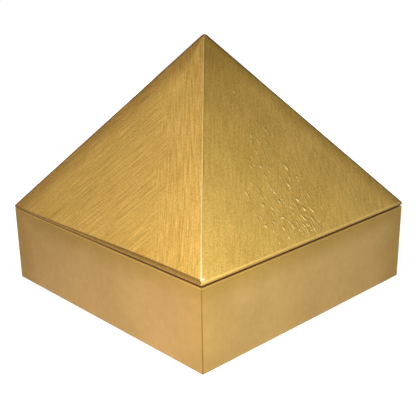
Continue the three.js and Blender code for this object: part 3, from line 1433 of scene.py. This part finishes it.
    def add_slope(self, draft: MeshDraft, side: Side, foot: np.ndarray) -> list[np.ndarray]:
        """Adds the outer surface of a slope, from the foot's top row to the rounded tip.

        Args:
            draft: The mesh to add to.
            side: The side.
            foot: Numbers of the foot's top row.

        Returns:
            The rows of numbers, from the foot up, with the tip alone in the last.
        """
        full = self.corner_radius + self.thickness
        lowest = self.slope_reach(self.band_height, self.thickness)
        start = self.slope_reach(self.foot_height, self.thickness)
        end = self.tip_radius * math.sin(self.rise)
        rows = [foot]
        reaches = np.linspace(start, end, self.segments - self.TIP_SEGMENTS + 1)
        for step, reach in enumerate(reaches[1:], 1):
            radius = min(full, self.TIP_CORNER * reach)
            height = self.band_height + (lowest - reach) * math.tan(self.rise)
            row = Columns.spread(self.segments - step, self.corner_steps).place(reach, radius, height)
            rows.append(draft.add_points(self.with_relief(side, row, height, reach - radius)))
            draft.add_lattice(rows[-2], rows[-1], self.corner_steps)
        middle = height - self.tip_radius * math.cos(self.rise)
        columns = Columns.spread(self.TIP_SEGMENTS, self.corner_steps)
        for share in self.TIP_SHARES:
            angle = self.rise * share
            reach = self.tip_radius * math.sin(angle)
            height = middle + self.tip_radius * math.cos(angle)
            rows.append(draft.add_points(columns.place(reach, min(full, self.TIP_CORNER * reach), height)))
            draft.add_strip(rows[-2], rows[-1])
        rows.append(draft.add_points(np.array([[0, 0, middle + self.tip_radius]])))
        draft.add_faces(rows[-2][:-1], rows[-2][1:], np.full(len(rows[-2]) - 1, rows[-1][0]))
        return rows

    def add_bedding(self, draft: MeshDraft, foot: np.ndarray) -> list[np.ndarray]:
        """Adds the surface of a slope that lies on the wood.

        Args:
            draft: The mesh to add to.
            foot: Numbers of the foot's top row.

        Returns:
            The rows of numbers, from the foot up, with the tip alone in the last.
        """
        height = self.band_height + (self.half_side - self.tip_flat / 2) * math.tan(self.rise) + self.bedding
        reach = self.slope_reach(height, self.bedding)
        columns = Columns.spread(1, self.corner_steps)
        top = draft.add_points(columns.place(reach, self.corner_radius + self.bedding, height))
        tip = draft.add_points(np.array([[0, 0, height]]))
        steps = self.corner_steps
        draft.add_strip(top[:steps + 1], foot[:steps + 1])
        draft.add_strip(top[-steps - 1:], foot[-steps - 1:])
        straight = np.concatenate([foot[steps:len(foot) - steps], top[steps:len(top) - steps][::-1]])
        draft.add_polygon(straight[::-1])
        draft.add_polygon(np.concatenate([tip, top[::-1]]))
        return [foot, top, tip]

    def build_side(self, side: Side) -> bpy.types.Object:
        """Builds the coat of one side.

        Args:
            side: The side.

        Returns:
            The coat.
        """
        draft = MeshDraft()
        stops = self.hinges.stops if side is Side.BACK else ()
        columns = Columns.spread(self.segments, self.corner_steps, self.half_side - self.corner_radius, stops)
        rounding = self.rounding(side, columns)
        outer_points = self.foot(columns, self.thickness, rounding)
        outer = draft.add_points(outer_points)
        inner = draft.add_points(self.foot(columns, self.bedding, rounding / self.BEDDING_SHARPER))
        kept = np.ones((outer.shape[0] - 1, outer.shape[1] - 1), bool)
        if stops:
            kept[:-1, columns.between(outer_points[-1])] = False
        draft.add_shell(outer, inner, kept, open_top=True)
        rows = self.add_slope(draft, side, outer[-1])
        bedded = self.add_bedding(draft, inner[-1])
        for end in (0, -1):
            edge = np.array([row[end] for row in rows] + [row[end] for row in reversed(bedded)])
            draft.add_polygon(edge if end == 0 else edge[::-1])
        return draft.build(f"lid_{side.label}_paint", self.place @ side.turn)

    def band(self, side: Side) -> BandTint:
        """Gives the looks of the upright edge on one side.

        Args:
            side: The side.

        Returns:
            Its looks.
        """
        up = self.place.to_3x3() @ Vector((0, 0, 1))
        level = up.dot(self.place.translation)
        forward = -Vector((0, 1, 0))
        # olive darkens the band on the front and back; dark_crest is painted shade along the crest on the
        # left and right.
        olive = colour(158, 128, 60)
        dark_crest = colour(132, 94, 44)
        return {
            Side.LEFT: BandTint(
                up, level, top=mm(1.3), strength=0.95, grows=forward, grown=mm(1.2), crest=mm(1.2),
                crest_light_and_shade=dark_crest,
            ),
            Side.FRONT: BandTint(up, level, top=mm(1.35), strength=0.9, tint=olive, crest=mm(1.75)),
            Side.RIGHT: BandTint(up, level, top=mm(1.9), strength=0.8, crest=mm(1.8), crest_light_and_shade=dark_crest),
            Side.BACK: BandTint(up, level, top=mm(1.4), strength=0.7, tint=olive, crest=mm(1.8)),
        }[side]

    def painted_hip_light(self, side: Side) -> PaintedHipLight | None:
        """Gives the painted light and shade along the front corner's hip on one side.

        Args:
            side: The side.

        Returns:
            Its looks, or None where the side doesn't reach that hip.
        """
        if side is Side.LEFT:
            # On the left: a painted highlight along the hip, and a painted glint at its foot.
            return PaintedHipLight(
                tint=colour(255, 230, 152), reach=mm(0.8), strength=1.0, foot_glint=colour(252, 230, 166),
                foot_top=mm(64),
            )
        if side is Side.FRONT:
            # On the front: painted shade beside the hip, and a painted glint at its foot.
            return PaintedHipLight(
                tint=colour(140, 106, 44), reach=mm(0.45), strength=0.6, foot_glint=colour(255, 242, 204),
                foot_widening=0.8,
            )
        return None

    def finish(self, side: Side) -> GoldPaint:
        """Gives the paint of one side.

        Args:
            side: The side.

        Returns:
            Its finish.
        """
        # The left and right slopes get warmer, brighter paint than the front and back, for the light on them:
        # painted light.
        warmly_lit_side = side in (Side.LEFT, Side.RIGHT)
        if warmly_lit_side:
            tone = Tone(clouds=0.15, streaks=0.5, grain=0.35, grain_size=mm(0.8))
        else:
            tone = Tone(clouds=0.3, streaks=0.3, grain=0.5, grain_size=mm(0.8))
        # The soft shade round the hips, and on the front and back the brow towards the tip, is painted shade.
        edge = EdgeTintAndPaintedShade(
            tint=colour(96, 58, 14), reach=mm(1.5), strength=0.9,
            shade_reach=mm(20 if warmly_lit_side else 14), shade_strength=0.75 if warmly_lit_side else 0.6,
            brow_level=mm(137), brow_reach=mm(45), brow_strength=0.0 if warmly_lit_side else 0.45,
        )
        return GoldPaint(
            name=f"gold paint on the lid {side.label}", side=side, rise=self.rise, lays=self.lays[side],
            deep=colour(188, 139, 53) if warmly_lit_side else colour(188, 147, 59),
            bright=colour(253, 206, 109) if warmly_lit_side else colour(243, 201, 106),
            metallic=0.5, roughness=0.43, coat=0.1, streak_depth=mm(0.1 if warmly_lit_side else 0.06),
            seed=1.7 + side.value, tone=tone, edge=edge, hip_light=self.painted_hip_light(side), band=self.band(side),
        )

    def dress(self, coat: bpy.types.Object, side: Side) -> None:
        """Paints a coat and lets it ride on the lid.

        Args:
            coat: The coat.
            side: The side that it lies on.
        """
        coat.data.materials.append(self.finish(side).material())
        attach(coat, "lid")


@dataclass(frozen=True)
class PaintRidge:
    """A ridge or drop of thick paint, by its middle on the slope, its size and its lean from straight up."""

    u: float
    v: float
    length: float
    width: float
    height: float
    lean: float = 0.0


RIDGES_IN_SIGHT = (
    PaintRidge(u=mm(-27), v=mm(31), length=mm(10), width=mm(1.8), height=mm(0.18), lean=-4),
    PaintRidge(u=mm(6), v=mm(38.5), length=mm(7.5), width=mm(2.2), height=mm(0.27), lean=-5),
    PaintRidge(u=mm(10), v=mm(32), length=mm(3), width=mm(2.2), height=mm(0.27), lean=-5),
    PaintRidge(u=mm(5), v=mm(33), length=mm(3.5), width=mm(1.6), height=mm(0.15), lean=-12),
    PaintRidge(u=mm(1.5), v=mm(29.5), length=mm(6), width=mm(2.4), height=mm(0.3), lean=-8),
    PaintRidge(u=mm(9), v=mm(26), length=mm(7), width=mm(1.7), height=mm(0.15), lean=-8),
    PaintRidge(u=mm(-10), v=mm(28), length=mm(3), width=mm(2.2), height=mm(0.24), lean=-8),
    PaintRidge(u=mm(-10), v=mm(23), length=mm(4), width=mm(2.4), height=mm(0.3), lean=-4),
    PaintRidge(u=mm(2), v=mm(20.5), length=mm(4.5), width=mm(2.4), height=mm(0.36), lean=-12),
    PaintRidge(u=mm(3), v=mm(15.5), length=mm(4.5), width=mm(2.3), height=mm(0.33), lean=-9),
    PaintRidge(u=mm(7.5), v=mm(19), length=mm(8), width=mm(1.6), height=mm(0.15), lean=-6),
    PaintRidge(u=mm(8), v=mm(13), length=mm(3.4), width=mm(2.2), height=mm(0.27), lean=-10),
    PaintRidge(u=mm(-21), v=mm(24), length=mm(3), width=mm(2.9), height=mm(0.27), lean=-12),
    PaintRidge(u=mm(-13), v=mm(15), length=mm(2.4), width=mm(2.5), height=mm(0.3)),
    PaintRidge(u=mm(-26), v=mm(14), length=mm(2.6), width=mm(2.3), height=mm(0.27)),
    PaintRidge(u=mm(-20), v=mm(14.5), length=mm(3), width=mm(2.3), height=mm(0.24), lean=-10),
    PaintRidge(u=mm(-16), v=mm(9.5), length=mm(6), width=mm(1.6), height=mm(0.15), lean=-8),
    PaintRidge(u=mm(-3), v=mm(56), length=mm(10), width=mm(1.7), height=mm(0.13), lean=-20),
    PaintRidge(u=mm(2), v=mm(53), length=mm(9), width=mm(1.7), height=mm(0.13), lean=-22),
    PaintRidge(u=mm(-16), v=mm(44), length=mm(6), width=mm(1.7), height=mm(0.13), lean=-24),
    PaintRidge(u=mm(-1), v=mm(84.5), length=mm(3.6), width=mm(2.2), height=mm(0.24), lean=-8),
    PaintRidge(u=mm(-1.6), v=mm(112.5), length=mm(4.5), width=mm(3.6), height=mm(0.12), lean=-50),
)


@dataclass(frozen=True)
class RidgePaint(Finish):
    """Thick gold paint with a painted highlight where a ridge faces the near light and painted shade in its
    lee.
    """

    lee: Vector
    plain: Colour = colour(206, 166, 76)
    painted_highlight: Colour = colour(255, 226, 140)
    dark: Colour = colour(122, 90, 32)
    dark_strength: float = 0.8
    metallic: float = 0.5
    roughness: float = 0.36
    flake_depth: float = mm(0.015)

    LIT_BETWEEN = (-0.04, -0.4)
    DARK_BETWEEN = (0.1, 0.34)

    def material(self) -> bpy.types.Material:
        """Makes the paint.

        Returns:
            The material.
        """
        pad, shader = self.new_material()
        away = pad.dot(pad.add("ShaderNodeTexCoord").outputs["Normal"], self.lee)
        # Painted highlight on faces towards the near light, painted shade on faces in the lee.
        tint = pad.blend(pad.remap(away, *self.LIT_BETWEEN), self.plain, self.painted_highlight)
        shade = pad.remap(away, *self.DARK_BETWEEN, 0.0, self.dark_strength)
        flake = pad.noise(self.own_position(pad), GoldPaint.FLAKES_TO_A_METRE, detail=1)
        pad.feed(shader, {
            "Base Color": pad.blend(shade, tint, self.dark),
            "Metallic": self.metallic,
            "Roughness": self.roughness,
            "Normal": pad.bump(flake, self.flake_depth),
        })
        return bpy.data.materials[self.name]


@dataclass(frozen=True)
class FaintRidges:
    """How the fainter ridges are strewn over the patch, in millimetres and degrees.

    They crowd towards the foot of the slope, and stand higher there.
    """

    seed: int = 11
    count: int = 130
    lowest: float = 4
    span: float = 62
    crowding: float = 1.4
    middle: float = -5
    scatter: float = 10
    lengths: tuple[float, float] = (2, 8)
    widths: tuple[float, float] = (1.2, 1.9)
    heights: tuple[float, float] = (0.08, 0.17)
    foot_share: float = 1.3
    fading_length: float = 110
    lean: float = -8
    lean_scatter: float = 6

    def ridges(self) -> list[PaintRidge]:
        """Strews the ridges, alike each run.

        Returns:
            The ridges.
        """
        chance = np.random.default_rng(self.seed)
        strewn = []
        for _ in range(self.count):
            v = self.lowest + self.span * chance.uniform() ** self.crowding
            u = chance.normal(self.middle, self.scatter)
            length, width = chance.uniform(*self.lengths), chance.uniform(*self.widths)
            height = chance.uniform(*self.heights) * (self.foot_share - v / self.fading_length)
            lean = chance.normal(self.lean, self.lean_scatter)
            strewn.append(PaintRidge(mm(u), mm(v), mm(length), mm(width), mm(height), lean))
        return strewn


@dataclass
class RidgedPatch:
    """The ridges and drops where thick paint was brushed out on the front of the lid.

    A ridge sways from side to side along its length, the more towards its ends, and is uneven in height.
    """

    lid: LidCoat
    chosen: tuple[PaintRidge, ...] = RIDGES_IN_SIGHT
    fainter: FaintRidges = FaintRidges()
    sunk: float = mm(0.05)
    spokes: int = 32
    rings: int = 6
    sway: float = mm(0.35)
    sway_length: float = mm(2.3)
    steady_length: float = mm(3)
    unevenness: float = 0.35
    uneven_length: float = mm(0.9)
    uneven_shift: float = 2.4
    lee_rise: float = 0.4

    def add_ridge(self, draft: MeshDraft, ridge: PaintRidge, number: int) -> None:
        """Adds one closed dome, higher along its middle and run out at its rim.

        Args:
            draft: The mesh to add to.
            ridge: The ridge.
            number: Its number, which sets its own unevenness.
        """
        share = np.linspace(0, 1, self.rings + 1)[1:, None]
        angle = np.linspace(0, 2 * math.pi, self.spokes, endpoint=False)[None, :]
        along = share * np.sin(angle) * ridge.length / 2
        bend = self.sway * np.sin(along / self.sway_length + number)
        bend = bend * np.abs(along) / (ridge.length / 2 + self.steady_length)
        across = share * np.cos(angle) * ridge.width / 2 + bend
        waves = np.sin(along / self.uneven_length + self.uneven_shift * number)
        uneven = 1 + self.unevenness * waves * (1 - share)
        bell = (1 + np.cos(math.pi * share)) / 2
        lift = self.lid.thickness - self.sunk + (ridge.height + self.sunk) * bell * uneven
        lean = math.radians(ridge.lean)
        u = ridge.u + across * math.cos(lean) + along * math.sin(lean)
        v = ridge.v - across * math.sin(lean) + along * math.cos(lean)
        rings = draft.add_points(self.lid.on_slope(u, v, lift))
        peak = self.lid.thickness + ridge.height
        top = draft.add_points(self.lid.on_slope(*np.array([[ridge.u], [ridge.v], [peak]])))
        draft.add_faces(rings[0], np.roll(rings[0], -1), np.full(self.spokes, top[0]))
        for inner, outer in zip(rings[:-1], rings[1:]):
            draft.add_faces(outer, np.roll(outer, -1), np.roll(inner, -1), inner)
        draft.add_polygon(rings[-1][::-1])

    def build(self) -> bpy.types.Object:
        """Builds all the ridges as one piece.

        Returns:
            The piece.
        """
        draft = MeshDraft()
        for number, ridge in enumerate([*self.chosen, *self.fainter.ridges()]):
            self.add_ridge(draft, ridge, number)
        return draft.build("lid_front_paint_ridges", self.lid.place @ Side.FRONT.turn)

    def dress(self, ridges: bpy.types.Object) -> None:
        """Gives the ridges thick paint, with its painted shade in the lee up the slope and to the right.

        Args:
            ridges: The piece with all the ridges.
        """
        up = Vector((0, math.cos(self.lid.rise), math.sin(self.lid.rise)))
        lee = (Side.FRONT.across + up * self.lee_rise).normalized()
        ridges.data.materials.append(RidgePaint("thick gold paint", lee).material())
        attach(ridges, "lid")


@dataclass
class BaseCoat:
    """The paint on the outside of the base, one coat to a wall, with a faint line down each corner's joint.

    The brush marks of one wall are read WALLS_APART from those of the next, so that no two walls are alike.
    """

    half_side: float
    height: float
    hinges: HingePlaces
    edge_radius: float = mm(0.6)
    thickness: float = mm(0.15)
    bedding: float = mm(0.01)
    joint_depth: float = mm(0.12)
    segments: int = 200
    rows: int = 56
    corner_steps: int = 8

    EDGE_TURN_DEGREES = 80
    EDGE_ROWS = 6
    JOINT_TURN_DEGREES = 12
    SMOOTH_EDGE = mm(0.8)
    FULL_RELIEF = mm(3)
    WALLS_APART = mm(97)
    TOLERANCE = mm(0.01)

    @property
    def lays(self) -> tuple[StrokeLay, ...]:
        """The faint upright marks on a wall."""
        return (StrokeLay(angle=90, width=mm(3.2), length=mm(60), depth=mm(0.006), seed=31),)

    def wall(self, columns: Columns, coat: float, joint: float, side: Side) -> np.ndarray:
        """Shapes one surface of a wall's coat, from the lower edge to the upper one.

        Args:
            columns: The wall's columns.
            coat: The coat's thickness over the wood.
            joint: How deep the line at the corner's joint is.
            side: The side.

        Returns:
            The points, by row and column.
        """
        bend = np.radians(np.linspace(0, self.EDGE_TURN_DEGREES, self.EDGE_ROWS))
        heights = np.concatenate([
            self.edge_radius * (1 - np.sin(bend[::-1])),
            np.linspace(self.edge_radius, self.hinges.floor, self.rows)[1:],
            self.height - self.edge_radius * (1 - np.sin(bend)),
        ])
        upright = np.ones(self.rows - 1)
        reach = self.half_side - self.edge_radius + (self.edge_radius + coat) * np.concatenate(
            [np.cos(bend[::-1]), upright, np.cos(bend)]
        )
        radius = reach - self.half_side + self.edge_radius
        from_joint = math.pi / 4 - np.abs(columns.turn)
        closeness = smoothstep(from_joint, math.radians(self.JOINT_TURN_DEGREES), 0)
        sunk = joint * closeness[None, :] * (radius / radius.max())[:, None]
        points = columns.place(reach[:, None], radius[:, None], heights[:, None], sunk)
        if joint:
            u, v = points[..., 0], points[..., 2]
            lift = sum(lay.relief(u, v + self.WALLS_APART * side.value, 0 * u + 1) for lay in self.lays)
            for from_edge in (self.half_side - np.abs(u), v, self.height - v):
                lift *= smoothstep(from_edge, self.SMOOTH_EDGE, self.FULL_RELIEF)
            points[..., 1] -= lift
        return points

    def build_side(self, side: Side) -> bpy.types.Object:
        """Builds the coat of one wall.

        Args:
            side: The wall's side.

        Returns:
            The coat.
        """
        draft = MeshDraft()
        stops = self.hinges.stops if side is Side.BACK else ()
        columns = Columns.spread(self.segments, self.corner_steps, self.half_side - self.edge_radius, stops)
        points = self.wall(columns, self.thickness, self.joint_depth, side)
        outer = draft.add_points(points)
        inner = draft.add_points(self.wall(columns, self.bedding, 0.0, side))
        kept = np.ones((outer.shape[0] - 1, outer.shape[1] - 1), bool)
        if stops:
            above = points[:-1, 0, 2] > self.hinges.floor - self.TOLERANCE
            kept[np.ix_(above, columns.between(points[0]))] = False
        draft.add_shell(outer, inner, kept, open_top=False)
        return draft.build(f"base_{side.label}_paint", side.turn)

    def finish(self, side: Side) -> GoldPaint:
        """Gives the paint of one wall.

        Args:
            side: The wall's side.

        Returns:
            Its finish.
        """
        # The left and right walls get a paint colour of their own, for the light on them: painted light.
        warmly_lit_side = side in (Side.LEFT, Side.RIGHT)
        return GoldPaint(
            name=f"gold paint on the base {side.label}", side=side, rise=math.pi / 2, lays=self.lays,
            deep=colour(173, 136, 78) if warmly_lit_side else colour(169, 136, 76),
            bright=colour(197, 156, 95) if warmly_lit_side else colour(191, 157, 93),
            metallic=0.6, roughness=0.49, coat=0.1, streak_depth=mm(0.008), seed=5.3 + side.value,
            tone=Tone(clouds=0.6, streaks=0.1, grain=0.15, grain_size=mm(3)),
            # The shade at the far corners, a little at the front corner, and along the tops of the walls is
            # painted shade.
            edge=EdgeTintAndPaintedShade(
                tint=colour(128, 92, 34), reach=mm(0.5), strength=0.85, foot_level=0.0,
                shade=colour(230, 225, 178), shade_reach=mm(26), shade_strength=0.9, front_share=0.4,
                brow_level=self.height, brow_strength=0.95,
            ),
            # A painted highlight along the top edge of each wall.
            arris=ArrisHighlight(self.height),
        )

    def dress(self, coat: bpy.types.Object, side: Side) -> None:
        """Paints a coat and lets it ride on the base.

        Args:
            coat: The coat.
            side: The side that it lies on.
        """
        coat.data.materials.append(self.finish(side).material())
        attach(coat, "base")


def dress_node(node: str, finish: Finish) -> None:
    """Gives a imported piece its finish.

    Args:
        node: The piece's name.
        finish: The finish.
    """
    piece = frame["nodes"][node]
    piece.data.materials.clear()
    piece.data.materials.append(finish.material())


@dataclass
class Boards:
    """The wood of the box, bare inside and on its rims.

    A board's grain bends round a pith that lay outside the box, below the walls and above the lid's rim.
    """

    half_side: float
    overpaint: float = mm(1.6)
    pith_outside: float = mm(40)
    pith_step: float = mm(20)
    below_walls: float = mm(70)
    below_panels: float = mm(-30)
    bottom_pith: Vector = field(default_factory=lambda: Vector((0, mm(20), mm(-90))))

    def dress(self) -> None:
        """Gives each board and panel its own piece of wood."""
        for number, side in enumerate(Side):
            along = Vector((abs(side.across.x), abs(side.across.y), 0))
            outward = side.turn.to_3x3() @ Vector((0, -1, 0))
            level = outward * (self.pith_outside + self.pith_step * number)
            drops = {f"{side.label}_wall": self.below_walls, f"lid_{side.label}_panel": self.below_panels}
            for node, drop in drops.items():
                pith = level - Vector((0, 0, drop))
                self.dress_board(node, along=along, pith=pith, seed=0.9 * number + drop * 10)
        self.dress_board("bottom_panel", along=Vector((1, 0, 0)), pith=self.bottom_pith, seed=7.1)

    def dress_board(self, node: str, along: Vector, pith: Vector, seed: float) -> None:
        """Gives one board or panel its wood.

        Args:
            node: The board's name.
            along: The way that its grain runs.
            pith: Where the middle of the tree lay.
            seed: What sets its grain apart.
        """
        wood = BareWood(
            name=f"bare wood of {node}", along=along, pith=pith, seed=seed + 2,
            overpaint=self.overpaint, half_side=self.half_side,
        )
        dress_node(node, wood)
        LOG.info("%s: bare wood", node)


@dataclass
class Hinges:
    """The two brass butt hinges: leaves pressed from sheet, and pins and screws turned from rod."""

    turned_rub: float = mm(0.12)
    pressed_rub: float = mm(0.2)
    turned_roughness: float = 0.3
    pressed_roughness: float = 0.34
    seed_step: float = 0.37

    def dress(self) -> None:
        """Gives the leaves, pins and screws their brass."""
        for number, node in enumerate(sorted(frame["nodes"])):
            if "_hinge_" not in node:
                continue
            turned = node.endswith("_pin") or "_screw_" in node
            brass = Brass(
                name=f"brass of {node}", along=Vector((1, 0, 0)),
                rub_width=self.turned_rub if turned else self.pressed_rub,
                roughness=self.turned_roughness if turned else self.pressed_roughness,
                seed=self.seed_step * number + 1,
            )
            dress_node(node, brass)
            LOG.info("%s: brass", node)


@dataclass(frozen=True)
class Lamp:
    """A square soft lamp that the camera doesn't see, nor a gloss unless it glares."""

    name: str
    place: Vector
    size: float
    power: float
    glares: bool = True

    def add(self, aim: Vector) -> None:
        """Adds the lamp.

        Args:
            aim: The point that it faces.
        """
        shape = bpy.data.lights.new(self.name, "AREA")
        shape.size = self.size
        shape.energy = self.power
        lamp = bpy.data.objects.new(self.name, shape)
        turned = (self.place - aim).to_track_quat("Z", "Y").to_matrix().to_4x4()
        lamp.matrix_world = Matrix.Translation(self.place) @ turned
        lamp.visible_camera = False
        lamp.visible_glossy = self.glares
        bpy.context.scene.collection.objects.link(lamp)


@dataclass
class Studio:
    """A plain pale floor, plain soft light, and the camera at the photograph's viewing angle."""

    azimuth: float = -43.46
    elevation: float = 18.963
    roll: float = -0.823
    camera_place: Vector = field(default_factory=lambda: Vector((mm(-278.07), mm(-294.03), mm(180.2))))
    focal_length_px: float = 769.68
    picture_width_px: float = 416
    nearest_seen: float = mm(10)
    floor_size: float = 6.0
    floor_gap: float = mm(0.05)
    floor_grey: float = 0.8
    shadowed_grey: float = 0.3
    fill: float = 0.16
    floor_glow: float = 0.95
    far_glow_share: float = 0.65
    card_middle: Vector = field(default_factory=lambda: Vector((mm(-76), mm(-76), 0)))
    card_start: float = mm(20)
    card_end: float = mm(300)
    horizon_gloss: float = 0.95
    ceiling_gloss: float = 0.05
    dims_between_degrees: tuple[float, float] = (10, 30)
    lamp_aim: Vector = field(default_factory=lambda: Vector((0, 0, mm(45))))
    lamps: tuple[Lamp, ...] = (
        Lamp("near lamp", Vector((mm(-190), mm(-190), mm(105))), size=mm(150), power=0.96, glares=False),
        Lamp("left lamp", Vector((mm(-242), mm(361), mm(416))), size=mm(250), power=0.16),
        Lamp("back lamp", Vector((mm(450), mm(400), mm(280))), size=mm(400), power=3.2, glares=False),
    )

    def build(self) -> None:
        """Builds the camera, the floor, the lamps and the world."""
        bpy.context.scene.view_settings.view_transform = "Standard"
        self.add_camera()
        self.add_floor()
        for lamp in self.lamps:
            lamp.add(self.lamp_aim)
        self.light_world()

    def add_camera(self) -> None:
        """Adds the camera."""
        azimuth, elevation, roll = (math.radians(a) for a in (self.azimuth, self.elevation, self.roll))
        level = math.cos(elevation)
        back = Vector((math.sin(azimuth) * level, -math.cos(azimuth) * level, math.sin(elevation)))
        right = Vector((math.cos(azimuth), math.sin(azimuth), 0))
        up = back.cross(right)
        upright = Matrix((right, up, back)).transposed()
        seen = bpy.data.cameras.new("camera")
        seen.lens = seen.sensor_width * self.focal_length_px / self.picture_width_px
        seen.clip_start = self.nearest_seen
        camera = bpy.data.objects.new("camera", seen)
        turned = upright @ Matrix.Rotation(roll, 3, "Z")
        camera.matrix_world = Matrix.Translation(self.camera_place) @ turned.to_4x4()
        bpy.context.scene.collection.objects.link(camera)
        bpy.context.scene.camera = camera

    def seen_directly(self, pad: NodePad) -> Socket:
        """Tells rays from the camera, a gloss or a glass from the rays that light things.

        Args:
            pad: The pad to add to.

        Returns:
            1 for a ray that shows the backdrop, otherwise 0.
        """
        path = pad.add("ShaderNodeLightPath").outputs
        either = pad.math("MAXIMUM", path["Is Camera Ray"], path["Is Glossy Ray"])
        return pad.math("MAXIMUM", either, path["Is Transmission Ray"])

    def add_floor(self) -> None:
        """Adds a wide floor, white to the eye, that keeps the box's shadow."""
        half = self.floor_size / 2
        corners = [(x * half, y * half, -self.floor_gap) for x, y in ((-1, -1), (1, -1), (1, 1), (-1, 1))]
        plane = bpy.data.meshes.new("floor")
        plane.from_pydata(corners, [], [(0, 1, 2, 3)])
        floor = bpy.data.objects.new("floor", plane)
        bpy.context.scene.collection.objects.link(floor)
        white = bpy.data.materials.new("pale floor")
        white.use_nodes = True
        white.node_tree.nodes.clear()
        pad = NodePad(white.node_tree)
        matt = pad.add("ShaderNodeBsdfDiffuse", {"Color": grey(self.floor_grey)})
        shadowed = pad.add("ShaderNodeBsdfDiffuse", {"Color": grey(self.shadowed_grey)})
        place = pad.add("ShaderNodeNewGeometry").outputs["Position"]
        from_card = pad.vector("DISTANCE", place, self.card_middle).outputs["Value"]
        far_glow = self.floor_glow * self.far_glow_share
        card = pad.remap(from_card, self.card_start, self.card_end, self.floor_glow, far_glow)
        seen = pad.add("ShaderNodeLightPath").outputs["Is Camera Ray"]
        strength = pad.math("MAXIMUM", pad.math("MULTIPLY", seen, self.floor_glow), card)
        glow = pad.add("ShaderNodeEmission", {"Color": grey(1.0), "Strength": strength})
        bright = pad.add("ShaderNodeAddShader", {0: glow.outputs[0], 1: shadowed.outputs[0]})
        feeds = {0: self.seen_directly(pad), 1: matt.outputs[0], 2: bright.outputs[0]}
        mixed = pad.add("ShaderNodeMixShader", feeds)
        pad.add("ShaderNodeOutputMaterial", {"Surface": mixed.outputs[0]})
        plane.materials.append(white)

    def light_world(self) -> None:
        """Lights the world evenly, behind a white backdrop that dims overhead where a gloss shows it."""
        world = bpy.data.worlds.new("studio")
        world.use_nodes = True
        bpy.context.scene.world = world
        world.node_tree.nodes.clear()
        pad = NodePad(world.node_tree)
        height = pad.height(pad.add("ShaderNodeTexCoord").outputs["Generated"])
        low, high = (math.sin(math.radians(angle)) for angle in self.dims_between_degrees)
        shown = pad.remap(height, low, high, self.horizon_gloss, self.ceiling_gloss)
        seen = pad.add("ShaderNodeLightPath").outputs["Is Camera Ray"]
        strength = pad.math("MAXIMUM", seen, shown)
        backdrop = pad.add("ShaderNodeBackground", {"Color": grey(1.0), "Strength": strength})
        fill = pad.add("ShaderNodeBackground", {"Color": grey(1.0), "Strength": self.fill})
        feeds = {0: self.seen_directly(pad), 1: fill.outputs[0], 2: backdrop.outputs[0]}
        mixed = pad.add("ShaderNodeMixShader", feeds)
        pad.add("ShaderNodeOutputWorld", {"Surface": mixed.outputs[0]})


def lid_lays() -> dict[Side, tuple[StrokeLay, ...]]:
    """Lays the brush strokes of the lid's four sides.

    Returns:
        The lays by side.
    """
    hip_angle = 57.7
    lays = {}
    for side in Side:
        seed = 40 + 10 * side.value
        if side.hip_is_right:
            near, far = mm(21), mm(38)
            lays[side] = (
                StrokeLay(angle=56, near=near, far=far, seed=seed, fine_width=mm(0.8), fine_length=mm(18)),
                StrokeLay(angle=180 - hip_angle, near=near, far=far, fades_out=True, seed=seed + 4),
            )
        else:
            lays[side] = (
                StrokeLay(angle=hip_angle, seed=seed),
                StrokeLay(angle=86, width=mm(3), depth=mm(0.012), near=mm(24), far=mm(60), seed=seed + 4),
            )
    return lays


def main() -> None:
    """Builds and dresses the box."""
    logging.basicConfig(level=logging.INFO, format="%(name)s: %(message)s")
    Studio().build()
    pin = Vector(frame["joints"][0]["pos_m"])
    lowest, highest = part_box("front_wall")
    half_side = -lowest.y
    hinges = HingePlaces()
    lid = LidCoat(half_side=half_side, pin=pin, hinges=hinges, lays=lid_lays())
    base = BaseCoat(half_side=half_side, height=highest.z, hinges=hinges)
    for coats in (base, lid):
        for side in Side:
            coat = coats.build_side(side)
            coats.dress(coat, side)
            LOG.info("%s: %d faces of gold paint", coat.name, len(coat.data.polygons))
    patch = RidgedPatch(lid)
    ridges = patch.build()
    patch.dress(ridges)
    LOG.info("%s: %d faces", ridges.name, len(ridges.data.polygons))
    Boards(half_side).dress()
    Hinges().dress()


if __name__ == "__main__":
    main()
